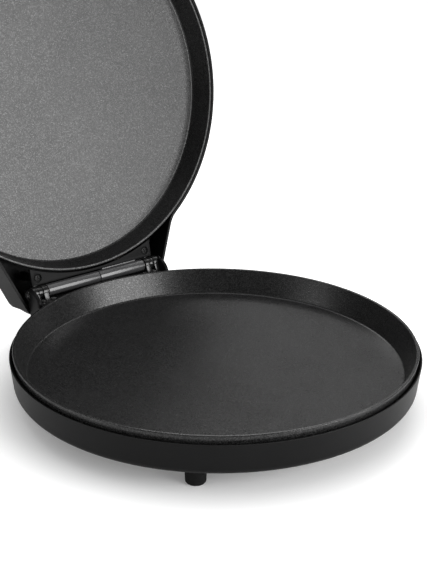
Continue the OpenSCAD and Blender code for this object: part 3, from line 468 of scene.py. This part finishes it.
@dataclass(frozen=True)
class FootRubber(Finish):
    """Matt black rubber, rubbed paler where it stands."""

    tone: float = 0.004
    skin: float = 0.6 * MM
    skin_depth: float = 0.03 * MM
    patch: float = 4 * MM
    gloss: float = 0.15

    def material(self) -> bpy.types.Material:
        """Builds the material."""
        material, g, place, round_normal = self.start()
        skin = g.noise(place, self.skin, rough=0.6)
        rubbed = g.noise(place, self.patch, detail=2.0)
        edges = g.worn_edges(round_normal)
        body = g.blend(rubbed, tint(self.tone), tint(self.tone, 1.7))
        g.surface({
            "Base Color": g.blend(edges * 1.2, body, tint(0.03)),
            "Roughness": 0.72 + (skin - 0.5) * 0.2,
            "Specular IOR Level": self.gloss,
            "Normal": g.bump(skin, self.skin_depth, round_normal),
        })
        return material


@dataclass(frozen=True)
class LensPlastic(Finish):
    """Clear coloured plastic over a lamp, with its moulded facets."""

    colour: Colour = (0.5, 0.02, 0.015)
    facet: float = 1.1 * MM
    facet_depth: float = 0.12 * MM

    def material(self) -> bpy.types.Material:
        """Builds the material."""
        material, g, place, round_normal = self.start()
        facets, chance = g.cells(place, self.facet, spread=0.4)
        pale = tuple(min(1.0, part * 1.6 + 0.03) for part in self.colour)
        g.surface({
            "Base Color": g.blend(facets * 0.6 + chance * 0.2, self.colour, pale),
            "Roughness": 0.08 + facets * 0.12,
            "Coat Weight": 0.6,
            "Normal": g.bump(facets, self.facet_depth, round_normal),
        })
        return material


SHELL_PLASTIC = MouldedPlastic("shell_plastic", edge=0.8 * MM)
HINGE_PLASTIC = MouldedPlastic("hinge_plastic", edge=0.5 * MM, tone=0.008, roughness=0.45,
                               grain=0.9 * MM, grain_depth=0.03 * MM, drawn=(0.05, 1.0, 1.0),
                               gloss=0.08)
# A lighter, glossier copy of the hinge plastic for the barrels: its raised tone is painted light that brightens
# them beside the cover of the same plastic.
BARREL_PLASTIC = replace(HINGE_PLASTIC, name="barrel_plastic", tone=0.05, roughness=0.30, gloss=0.8)
HANDLE_PLASTIC = MouldedPlastic("handle_plastic", edge=1.0 * MM, tone=0.006, roughness=0.38)
PAN_COATING = NonStickCoat("pan_coating", edge=0.4 * MM)
BRIGHT_STEEL = BareMetal("bright_steel", edge=0.2 * MM)
BLACK_STEEL = PaintedSteel("black_steel", edge=0.25 * MM)
BLACKED_SCREWS = PaintedSteel("blacked_screws", edge=0.2 * MM, bare=0.06, roughness=0.42,
                              gloss=0.2)
OILED_STEEL = BareMetal("oiled_steel", edge=0.2 * MM, colour=(0.10, 0.095, 0.09),
                        stain=(0.04, 0.04, 0.045), roughness=0.34)
SHEET_STEEL = BareMetal("sheet_steel", edge=0.25 * MM, colour=(0.5, 0.5, 0.51),
                        stain=(0.36, 0.355, 0.35), roughness=0.38)
ELEMENT_STEEL = BareMetal("element_steel", colour=(0.16, 0.14, 0.13),
                          stain=(0.08, 0.075, 0.09), roughness=0.45, drawn=(1.0, 1.0, 0.3))
REFLECTOR_METAL = BareMetal("reflector_aluminium", colour=(0.8, 0.8, 0.81),
                            stain=(0.68, 0.67, 0.66), roughness=0.22)
CERAMIC = FiredClay("ceramic")
WIRE_INSULATION = WireSleeve("wire_insulation", edge=0.1 * MM)
FOOT_RUBBER = FootRubber("foot_rubber", edge=0.5 * MM)
RED_LENS = LensPlastic("red_lens", edge=0.3 * MM)
GREEN_LENS = LensPlastic("green_lens", edge=0.3 * MM, colour=(0.02, 0.32, 0.05))
FINISHES = (SHELL_PLASTIC, HINGE_PLASTIC, BARREL_PLASTIC, HANDLE_PLASTIC, PAN_COATING, BRIGHT_STEEL,
            BLACK_STEEL, BLACKED_SCREWS, OILED_STEEL, SHEET_STEEL, ELEMENT_STEEL, REFLECTOR_METAL,
            CERAMIC, WIRE_INSULATION, FOOT_RUBBER, RED_LENS, GREEN_LENS)


class Body(Enum):
    """The two bodies that the hinge joins."""

    BASE = "base"
    LID = "lid"


@dataclass(frozen=True)
class Corner:
    """One corner of an outline with the radius that it is turned on."""

    x: float
    y: float
    radius: float = 0.0


def rounded(corners: Sequence[Corner], steps: int = 6, closed: bool = False) -> list[Point]:
    """Turns each corner of an outline on its own radius.

    Args:
        corners: The outline's corners in order.
        steps: Number of edges round each turn.
        closed: Whether the last corner joins the first.

    Returns:
        The outline's points.
    """
    points: list[Point] = []
    count = len(corners)
    for i, corner in enumerate(corners):
        at = Vector((corner.x, corner.y))
        if corner.radius <= 0 or (not closed and i in (0, count - 1)):
            points.append((at.x, at.y))
            continue
        before = corners[(i - 1) % count]
        after = corners[(i + 1) % count]
        back = (Vector((before.x, before.y)) - at)
        ahead = (Vector((after.x, after.y)) - at)
        half = back.angle(ahead) / 2
        reach = min(corner.radius / math.tan(half), back.length * 0.49, ahead.length * 0.49)
        radius = reach * math.tan(half)
        back.normalize()
        ahead.normalize()
        centre = at + (back + ahead).normalized() * (radius / math.sin(half))
        first = at + back * reach - centre
        last = at + ahead * reach - centre
        sweep = first.angle_signed(last)
        for k in range(steps + 1):
            turn = -sweep * k / steps
            spoke = Matrix.Rotation(turn, 2) @ first
            points.append((centre.x + spoke.x, centre.y + spoke.y))
    return points


class Place:
    """Frames that the pieces are drawn in, all in millimetres."""

    def __init__(self) -> None:
        """Reads the hinge and the pan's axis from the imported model."""
        joint = frame["joints"][0]
        pan_low, pan_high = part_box("lower_pan")
        hinge = Vector(joint["pos_m"]) / MM
        open_angle = math.radians(joint["range_deg"][1])
        self.axis_y = (pan_low.y + pan_high.y) / 2 / MM
        self.rim_r = (pan_high.x - pan_low.x) / 2 / MM
        self.rim_z = pan_high.z / MM
        self.hinge_reach = hinge.y - self.axis_y
        self.base = Matrix.Translation((0.0, self.axis_y, 0.0))
        self.lid = (Matrix.Translation(hinge) @ Matrix.Rotation(-open_angle, 4, "X")
                    @ Matrix.Translation((0.0, -self.hinge_reach, hinge.z - self.rim_z)))
        self.turned = Matrix.Rotation(math.pi, 4, "Y")
        self.rod = Matrix.Translation(hinge) @ Matrix.Rotation(math.pi / 2, 4, "Y")


class Workshop:
    """Makes meshes, names them and puts them on their bodies."""

    weld: float = 2e-6
    flat_angle: float = math.radians(0.4)
    edge_angle: float = math.radians(34)

    def __init__(self) -> None:
        """Builds every finish once."""
        self.place = Place()
        self.materials = {finish.name: finish.material() for finish in FINISHES}
        self.slots = {entry["node"]: entry["material_slot"]
                      for entry in frame["record"]["subparts"]}

    def piece(self, name: str, mesh: bpy.types.Mesh, body: Body, finish: Finish,
              node: str) -> bpy.types.Object:
        """Adds a finished piece to the scene.

        Args:
            name: The piece's name.
            mesh: Its mesh in metres in the part's frame.
            body: The body it rides on.
            finish: Its finish.
            node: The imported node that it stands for.

        Returns:
            The new object.
        """
        mesh.name = name
        mesh.materials.clear()
        mesh.materials.append(self.materials[finish.name])
        piece = bpy.data.objects.new(name, mesh)
        bpy.context.scene.collection.objects.link(piece)
        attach(piece, body.value)
        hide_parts(node)
        log.info("%s rides on %s for %s, %d faces", name, body.value, node, len(mesh.polygons))
        return piece

    def dress(self, *nodes: str) -> None:
        """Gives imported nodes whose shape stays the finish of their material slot."""
        for node in nodes:
            mesh = frame["nodes"][node].data
            mesh.materials.clear()
            mesh.materials.append(self.materials[self.slots[node]])
            log.info("%s keeps its shape in %s", node, self.slots[node])

    def softened(self, name: str, node: str, body: Body, finish: Finish, width: float,
                 steps: int = 3) -> bpy.types.Object:
        """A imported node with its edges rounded.

        Args:
            name: The piece's name.
            node: The node it stands for.
            body: The body it rides on.
            finish: Its finish.
            width: Width of the rounding in millimetres.
            steps: Number of faces across the rounding.

        Returns:
            The new object.
        """
        mesh = frame["nodes"][node].data.copy()
        form = bmesh.new()
        form.from_mesh(mesh)
        bmesh.ops.remove_doubles(form, verts=form.verts, dist=self.weld)
        bmesh.ops.dissolve_limit(form, angle_limit=self.flat_angle, verts=form.verts,
                                 edges=form.edges)
        form.to_mesh(mesh)
        form.free()
        rough = bpy.data.objects.new(name, mesh)
        bpy.context.scene.collection.objects.link(rough)
        bevel = rough.modifiers.new("round", "BEVEL")
        bevel.width = width * MM
        bevel.segments = steps
        bevel.limit_method = "ANGLE"
        bevel.angle_limit = self.edge_angle
        bevel.miter_outer = "MITER_ARC"
        smooth = self.applied(rough)
        shade(smooth, angle=40)
        return self.piece(name, smooth, body, finish, node)

    @staticmethod
    def applied(rough: bpy.types.Object) -> bpy.types.Mesh:
        """Works an object's modifiers into a mesh and removes the object.

        Args:
            rough: The object with its modifiers.

        Returns:
            The finished mesh.
        """
        graph = bpy.context.evaluated_depsgraph_get()
        mesh = bpy.data.meshes.new_from_object(rough.evaluated_get(graph))
        bpy.data.objects.remove(rough)
        return mesh


def shade(mesh: bpy.types.Mesh, angle: float) -> None:
    """Shades a mesh smooth, with edges sharper than an angle in degrees left crisp."""
    mesh.shade_smooth()
    mesh.set_sharp_from_angle(angle=math.radians(angle))


class Form:
    """A mesh under construction, drawn in millimetres in a frame of its own."""

    def __init__(self) -> None:
        """Starts with no faces."""
        self.bm = bmesh.new()

    def turned(self, profile: Sequence[tuple[Radius, float]], frame_of: Matrix, segments: int = 96,
               closed: bool = True) -> "Form":
        """Turns a half section about the frame's upright axis.

        Args:
            profile: Radii and heights; a radius may change with the angle.
            frame_of: Where the axis stands.
            segments: Number of steps round.
            closed: Whether the last point joins the first.

        Returns:
            This form.
        """
        turns = [2 * math.pi * k / segments for k in range(segments)]
        rings = []
        for radius, height in profile:
            if not callable(radius) and radius < 1e-6:
                rings.append([self.bm.verts.new(frame_of @ Vector((0, 0, height)))])
                continue
            reach = [radius(turn) if callable(radius) else radius for turn in turns]
            rings.append([self.bm.verts.new(frame_of @ Vector((
                r * math.cos(turn), r * math.sin(turn), height))) for r, turn in zip(reach, turns)])
        pairs = list(zip(rings, rings[1:] + rings[:1] if closed else rings[1:]))
        for low, high in pairs:
            for k in range(segments):
                n = (k + 1) % segments
                if len(low) == 1 and len(high) == 1:
                    break
                if len(low) == 1:
                    self.bm.faces.new((low[0], high[k], high[n]))
                elif len(high) == 1:
                    self.bm.faces.new((low[k], high[0], low[n]))
                else:
                    self.bm.faces.new((low[k], high[k], high[n], low[n]))
        return self

    def pulled(self, outline: Sequence[Point], frame_of: Matrix, low: float, high: float) -> "Form":
        """Pulls a flat outline up into a bar.

        Args:
            outline: The outline in the frame's X and Y.
            frame_of: The frame that it lies in.
            low: Height of its lower face.
            high: Height of its upper face.

        Returns:
            This form.
        """
        lower = [self.bm.verts.new(frame_of @ Vector((x, y, low))) for x, y in outline]
        upper = [self.bm.verts.new(frame_of @ Vector((x, y, high))) for x, y in outline]
        self.bm.faces.new(reversed(lower))
        self.bm.faces.new(upper)
        for k, start in enumerate(lower):
            n = (k + 1) % len(lower)
            self.bm.faces.new((start, lower[n], upper[n], upper[k]))
        return self

    def mesh(self, angle: float = 40) -> bpy.types.Mesh:
        """Finishes the mesh in metres.

        Args:
            angle: Edges sharper than this many degrees stay crisp.

        Returns:
            The mesh.
        """
        bmesh.ops.recalc_face_normals(self.bm, faces=self.bm.faces)
        bmesh.ops.scale(self.bm, vec=(MM, MM, MM), verts=self.bm.verts)
        mesh = bpy.data.meshes.new("form")
        self.bm.to_mesh(mesh)
        self.bm.free()
        shade(mesh, angle)
        return mesh


@dataclass
class Pan:
    """One coated pan, drawn on its floor with its rim up."""

    shop: Workshop
    body: Body
    floor_r: float
    post_circle_r: float
    depth: float = 21.8
    thickness: float = 2.4
    land: float = 2.6
    lip_h: float = 9.0
    lip_lean: float = 1.0
    fillet: float = 2.0
    post_r: float = 5.5
    post_h: float = 4.0
    post_angles: tuple[float, ...] = (30, 150, 270)
    segments: int = 256
    post_segments: int = 32

    def build(self) -> None:
        """Turns the pan and stands its posts under it."""
        place = self.shop.place
        if self.body is Body.BASE:
            stand = place.base @ Matrix.Translation((0, 0, place.rim_z - self.depth))
        else:
            stand = place.lid @ Matrix.Translation((0, 0, self.depth)) @ place.turned
        rim = place.rim_r
        t = self.thickness
        profile = rounded([
            Corner(0, 0),
            Corner(self.floor_r, 0, self.fillet),
            Corner(rim - self.land, self.depth, 0.9),
            Corner(rim, self.depth, 0.8),
            Corner(rim - self.lip_lean, self.depth - self.lip_h, 0.4),
            Corner(rim - self.lip_lean - t, self.depth - self.lip_h, 0.4),
            Corner(self.floor_r + 0.7 * t, -t, 2 * t),
            Corner(0, -t),
        ])
        form = Form().turned(profile, stand, self.segments, closed=False)
        for angle in self.post_angles:
            turn = math.radians(180 - angle if self.body is Body.LID else angle)
            post = (stand @ Matrix.Rotation(turn, 4, "Z")
                    @ Matrix.Translation((self.post_circle_r, 0, -t - self.post_h)))
            form.turned([(0, 0), (self.post_r, 0), (self.post_r, self.post_h)], post,
                        self.post_segments, closed=False)
        node = "lower_pan" if self.body is Body.BASE else "upper_pan"
        self.shop.piece(f"{node}_coated", form.mesh(angle=32), self.body, PAN_COATING, node)


@dataclass(frozen=True)
class CrossScrew:
    """A round screw head with a cross recess, and its shank."""

    head_r: float = 2.9
    head_h: float = 1.3
    shank_r: float = 1.9
    shank_h: float = 8.0
    arm: float = 1.9
    arm_w: float = 0.42
    recess_h: float = 0.9
    recess_taper: float = 0.7
    dome: tuple[Point, ...] = ((0.72, -0.04), (0.88, -0.16), (0.97, -0.36), (1.0, -0.6))

    def cross(self, turn: float) -> float:
        """Distance of the recess's edge from the middle at an angle."""
        off = (turn + math.pi / 4) % (math.pi / 2) - math.pi / 4
        return min(self.arm / math.cos(off), self.arm_w / max(abs(math.sin(off)), 1e-6))

    def draw(self, form: Form, stand: Matrix) -> None:
        """Adds the screw to a form.

        Args:
            form: The form.
            stand: Its frame, with the head's top at zero height and the shank below.
        """
        tip = -self.head_h - self.shank_h
        form.turned([
            (0, -self.recess_h),
            (lambda turn: self.cross(turn) * self.recess_taper, -self.recess_h),
            (self.cross, -0.05),
            *((share * self.head_r, height) for share, height in self.dome),
            (self.head_r, -self.head_h),
            (self.shank_r, -self.head_h),
            (self.shank_r, tip),
            (0, tip),
        ], stand, closed=False)


@dataclass
class Feet:
    """The four rubber feet, each with its screw's counterbore."""

    shop: Workshop
    nodes: tuple[str, ...] = ("foot_front_left", "foot_front_right", "foot_rear_left",
                              "foot_rear_right")
    toe_in: float = 0.3
    edge_r: float = 2.2
    shoulder_r: float = 2.0
    groove: float = 0.25
    groove_at: Triple = (0.62, 0.68, 0.74)
    bore_r: float = 2.2
    head_bore_r: float = 3.8

    def build(self) -> None:
        """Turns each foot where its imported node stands."""
        for node in self.nodes:
            low, high = (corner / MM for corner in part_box(node))
            r = (high.x - low.x) / 2
            h = high.z
            stand = Matrix.Translation(((low.x + high.x) / 2, (low.y + high.y) / 2, 0.0))
            under, groove, over = (h * share for share in self.groove_at)
            profile = rounded([
                Corner(self.head_bore_r, h / 2),
                Corner(self.head_bore_r, 0, 0.4),
                Corner(r - self.toe_in, 0, self.edge_r),
                Corner(r, under, self.shoulder_r),
                Corner(r - self.groove, groove, 0.4),
                Corner(r, over, 0.4),
                Corner(r, h, 0.3),
                Corner(self.bore_r, h),
                Corner(self.bore_r, h / 2),
            ])
            form = Form().turned(profile, stand)
            self.shop.piece(f"{node}_turned", form.mesh(angle=30), Body.BASE, FOOT_RUBBER, node)


@dataclass
class Hinge:
    """Ears, straps, barrels, rod and washers."""

    shop: Workshop
    barrel_r: float = 5.5
    bore_r: float = 2.56
    end_r: float = 0.7
    end_bend: float = 0.3
    flats: int = 10
    flat_depth: float = 0.16
    washer_r: float = 4.6
    washer_gap: float = 0.25
    plate_edge: float = 0.45
    strap_edge: float = 0.35
    rib_y: tuple[float, float] = (-6.45, -3.45)
    rib_z: tuple[float, float] = (0.3, 1.9)
    rib_set: float = 6.0
    segments: int = 160

    def flatted(self, radius: float) -> Radius:
        """Radius that dips at each of the barrel's shallow flats."""
        return lambda turn: radius - self.flat_depth * (0.5 + 0.5 * math.cos(self.flats * turn))

    def barrel(self, node: str, body: Body) -> None:
        """Turns one barrel with rounded ends and shallow lengthwise flats.

        Args:
            node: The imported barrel.
            body: The body it rides on.
        """
        low, high = (corner.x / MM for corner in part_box(node))
        r, e = self.barrel_r, self.end_r
        bend = self.end_bend * e
        profile = [(self.bore_r, low), (r - e, low), (r - bend, low + bend),
                   (self.flatted(r), low + e), (self.flatted(r), high - e),
                   (r - bend, high - bend), (r - e, high), (self.bore_r, high)]
        form = Form().turned(profile, self.shop.place.rod, self.segments)
        if body is Body.LID:
            left, right = low + self.rib_set, high - self.rib_set
            near, far = (self.shop.place.hinge_reach + y for y in self.rib_y)
            outline = [Corner(x, y, 0.4) for x, y in (
                (left, near), (right, near), (right, far), (left, far))]
            form.pulled(rounded(outline, 4, closed=True), self.shop.place.lid, *self.rib_z)
        self.shop.piece(f"{node}_turned", form.mesh(angle=35), body, BARREL_PLASTIC, node)

    def washers(self) -> None:
        """Turns the two thrust washers between the barrels and the ears."""
        low, high = (corner.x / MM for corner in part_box("thrust_washers"))
        barrel_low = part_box("left_barrel")[0].x / MM
        barrel_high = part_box("right_barrel")[1].x / MM
        form = Form()
        gap = self.washer_gap
        for start, end in ((low, barrel_low - gap), (barrel_high + gap, high)):
            form.turned([(self.bore_r, start), (self.washer_r, start), (self.washer_r, end),
                         (self.bore_r, end)], self.shop.place.rod, 64)
        self.shop.piece("washers_turned", form.mesh(angle=30), Body.BASE, OILED_STEEL,
                        "thrust_washers")

    def build(self) -> None:
        """Makes the hinge's pieces."""
        shop = self.shop
        shop.softened("hinge_plate_pressed", "hinge_plate", Body.BASE, BLACK_STEEL,
                      self.plate_edge)
        for side in ("left", "right"):
            shop.softened(f"{side}_strap_pressed", f"hinge_strap_{side}", Body.LID, BLACK_STEEL,
                          self.strap_edge)
        self.barrel("left_barrel", Body.BASE)
        self.barrel("right_barrel", Body.LID)
        self.washers()
        shop.dress("hinge_rod", "rod_push_nuts", "hinge_plate_screws")


@dataclass
class HingeCover:
    """The plate over the hinge's lid side and its two screws."""

    shop: Workshop
    edge: float = 0.5
    screw_x: float = 59.0
    screw_set: float = 12.6
    screw_sink: float = 0.8
    screw_turn: float = 20.0

    def build(self) -> None:
        """Makes the plate and its screws."""
        place = self.shop.place
        self.shop.softened("hinge_cover_moulded", "lid_hinge_cover", Body.LID, HINGE_PLASTIC,
                           self.edge)
        form = Form()
        for side in (-1, 1):
            at = (side * self.screw_x, place.hinge_reach - self.screw_set, self.screw_sink)
            stand = (place.lid @ Matrix.Translation(at) @ place.turned
                     @ Matrix.Rotation(math.radians(self.screw_turn * side), 4, "Z"))
            CrossScrew().draw(form, stand)
        self.shop.piece("cover_screws_turned", form.mesh(angle=30), Body.LID, BLACKED_SCREWS,
                        "lid_hinge_screws")


@dataclass
class Handle:
    """The lid's front handle and its screws."""

    shop: Workshop
    edge: float = 2.6

    def build(self) -> None:
        """Rounds the handle's bar and arms."""
        self.shop.softened("handle_moulded", "lid_handle", Body.LID, HANDLE_PLASTIC, self.edge,
                           steps=5)
        self.shop.dress("handle_screws")


@dataclass
class BaseShell:
    """The base's bowl with its cover, cord gland and fixings."""

    shop: Workshop

    def build(self) -> None:
        """Dresses the bowl and what closes it."""
        self.shop.dress("base_shell", "bottom_cover", "bottom_cover_screws", "foot_screws",
                        "cord_gland", "gland_nut")


@dataclass
class LidShell:
    """The lid's dome and tail with its plugs and lamps."""

    shop: Workshop
    lens_edge: float = 0.5

    def build(self) -> None:
        """Dresses the dome and rounds its lenses."""
        self.shop.dress("lid_shell", "screw_plugs", "lamp_holders")
        for node, finish in (("power_lens", RED_LENS), ("ready_lens", GREEN_LENS)):
            self.shop.softened(f"{node}_moulded", node, Body.LID, finish, self.lens_edge)


@dataclass
class Heating:
    """One body's element, reflector, thermostat and their fixings."""

    shop: Workshop
    prefix: str
    others: tuple[str, ...] = ()

    def build(self) -> None:
        """Dresses the heating pieces under or over one pan."""
        shared = ("pan_screws", "element", "element_pins", "element_clips", "clip_screws",
                  "reflector", "thermostat", "thermostat_bracket")
        self.shop.dress(*(f"{self.prefix}_{name}" for name in shared), *self.others)


@dataclass(frozen=True)
class Lamp:
    """One soft panel of light.

    Its azimuth from +X and its height above the horizon are in degrees. Its distance from the
    point it is aimed at, that point, and its width and height are in metres.
    """

    name: str
    azimuth: float
    height: float
    distance: float
    aim: Triple
    size: Point
    radiance: float

    def hang(self) -> None:
        """Adds the lamp to the scene."""
        azimuth, height = math.radians(self.azimuth), math.radians(self.height)
        out = Vector((math.cos(azimuth) * math.cos(height), math.sin(azimuth) * math.cos(height),
                      math.sin(height)))
        data = bpy.data.lights.new(self.name, "AREA")
        data.shape = "RECTANGLE"
        data.size, data.size_y = self.size
        data.energy = self.radiance * math.pi * self.size[0] * self.size[1]
        lamp = bpy.data.objects.new(self.name, data)
        lamp.matrix_world = (Matrix.Translation(Vector(self.aim) + out * self.distance)
                             @ out.to_track_quat("Z", "Y").to_matrix().to_4x4())
        bpy.context.scene.collection.objects.link(lamp)


LAMPS = (
    Lamp("front_panel", -71, 8, 1.5, aim=(0, 0.10, 0.19), size=(1.05, 0.8), radiance=7.2),
    Lamp("left_panel", 168, 6, 1.4, aim=(0, -0.02, 0.05), size=(0.55, 0.3), radiance=7.0),
    Lamp("rear_panel", 46, 44, 1.6, aim=(0.05, -0.10, 0.07), size=(1.4, 0.5), radiance=4.4),
    Lamp("top_panel", 80, 82, 1.7, aim=(0, 0, 0), size=(1.4, 1.4), radiance=1.0),
)


@dataclass
class Studio:
    """Camera, lamps, floor and surroundings."""

    shop: Workshop
    heading: float = 39.56
    look_down: float = 21.50
    roll: float = 0.51
    eye: Triple = (-573.9, -744.5, 448.9)
    lens: float = 75.66
    sensor: float = 36.0
    sky: float = 0.62
    front_glow: float = 0.05
    rear_glow: float = 0.03
    rear_sky: float = 0.40
    rear: Triple = (0.4, 0.916, 0.0)
    floor_r: float = 6.0
    floor_glow: float = 0.45
    # Weaker floor glow near the base, and the distances over which it rises to full: a painted shadow round the
    # object.
    painted_shadow_glow: float = 0.29
    painted_shadow_reach: Point = (0.158, 0.225)

    def camera(self) -> None:
        """Stands the camera where the photograph was taken."""
        a, p, r = (math.radians(v) for v in (self.heading, self.look_down, self.roll))
        ahead = Vector((math.sin(a) * math.cos(p), math.cos(a) * math.cos(p), -math.sin(p)))
        side = Vector((math.cos(a), -math.sin(a), 0.0))
        up = side.cross(ahead)
        right = side * math.cos(r) + up * math.sin(r)
        above = up * math.cos(r) - side * math.sin(r)
        turn = Matrix((right, above, -ahead)).transposed().to_4x4()
        data = bpy.data.cameras.new("camera")
        data.lens = self.lens
        data.sensor_width = self.sensor
        data.clip_start = 0.01
        camera = bpy.data.objects.new("camera", data)
        camera.matrix_world = Matrix.Translation(Vector(self.eye) * MM) @ turn
        bpy.context.scene.collection.objects.link(camera)
        bpy.context.scene.camera = camera

    def surroundings(self) -> None:
        """White to the camera; in reflections, dim in front of the object and bright behind it."""
        world = bpy.data.worlds.new("studio")
        bpy.context.scene.world = world
        g = Graph(world)
        out = Strand(g, g.node("ShaderNodeTexCoord").outputs["Generated"])
        along = g.node("ShaderNodeVectorMath", {"operation": "DOT_PRODUCT"},
                       {0: out, 1: self.rear})
        behind = Strand(g, along.outputs["Value"]).step(-0.35, 0.45)
        parts = g.node("ShaderNodeSeparateXYZ", None, {0: out})
        high = Strand(g, parts.outputs["Z"]).step(0.40, 0.62)
        path = g.node("ShaderNodeLightPath")
        seen = Strand(g, path.outputs["Is Camera Ray"])
        mirrored = Strand(g, path.outputs["Is Glossy Ray"])
        pattern = self.front_glow + behind * (self.rear_glow + high * self.rear_sky)
        level = g.math("MAXIMUM", seen, mirrored * pattern + self.sky * (1.0 - mirrored))
        shader = g.node("ShaderNodeBackground", None, {
            "Color": g.blend(level, tint(0.0), tint(1.0))})
        g.node("ShaderNodeOutputWorld", None, {"Surface": Strand(g, shader.outputs[0])})

    def floor(self) -> None:
        """Lays the white floor, which keeps the object's shadow and glows to the camera; its glow is weaker near
        the base, a painted shadow round the object, and full further out.
        """
        bm = bmesh.new()
        bmesh.ops.create_circle(bm, cap_ends=True, segments=64, radius=self.floor_r)
        mesh = bpy.data.meshes.new("floor")
        bm.to_mesh(mesh)
        bm.free()
        material = bpy.data.materials.new("floor")
        g = Graph(material)
        path = g.node("ShaderNodeLightPath")
        seen = Strand(g, path.outputs["Is Camera Ray"])
        place = g.place()
        grey = g.noise(place, 300 * MM, detail=2.0)
        # The glow is held low near the pan's axis and rises to full further out: a painted shadow round the base.
        reach = g.node("ShaderNodeVectorMath", {"operation": "DISTANCE"},
                       {0: place, 1: (0.0, self.shop.place.axis_y * MM, 0.0)})
        past_painted_shadow = Strand(g, reach.outputs["Value"]).step(*self.painted_shadow_reach)
        glow = seen * (self.painted_shadow_glow + past_painted_shadow * (1.0 - self.painted_shadow_glow))
        g.surface({
            "Base Color": g.blend(grey, tint(0.9), tint(0.92)),
            "Roughness": 0.7,
            "Specular IOR Level": 0.2,
            "Emission Color": g.blend(glow, tint(0.0), tint(1.0)),
            "Emission Strength": self.floor_glow,
        })
        mesh.materials.append(material)
        floor = bpy.data.objects.new("floor", mesh)
        bpy.context.scene.collection.objects.link(floor)

    def build(self) -> None:
        """Sets up the whole studio."""
        for lamp in LAMPS:
            lamp.hang()
        self.surroundings()
        self.floor()
        bpy.context.scene.view_settings.view_transform = "Standard"


def main() -> None:
    """Builds the object's finishes, pieces and studio in order."""
    logging.basicConfig(level=logging.INFO, format="%(message)s")
    shop = Workshop()
    studio = Studio(shop)
    studio.camera()
    BaseShell(shop).build()
    Feet(shop).build()
    Pan(shop, Body.BASE, floor_r=155, post_circle_r=135).build()
    Heating(shop, "lower", ("thermal_cutout", "terminal_block", "terminal_screws",
                            "base_wiring")).build()
    LidShell(shop).build()
    Pan(shop, Body.LID, floor_r=158, post_circle_r=126).build()
    Heating(shop, "upper", ("lid_wiring", "lid_connector")).build()
    Hinge(shop).build()
    HingeCover(shop).build()
    Handle(shop).build()
    studio.build()


if __name__ == "__main__":
    main()
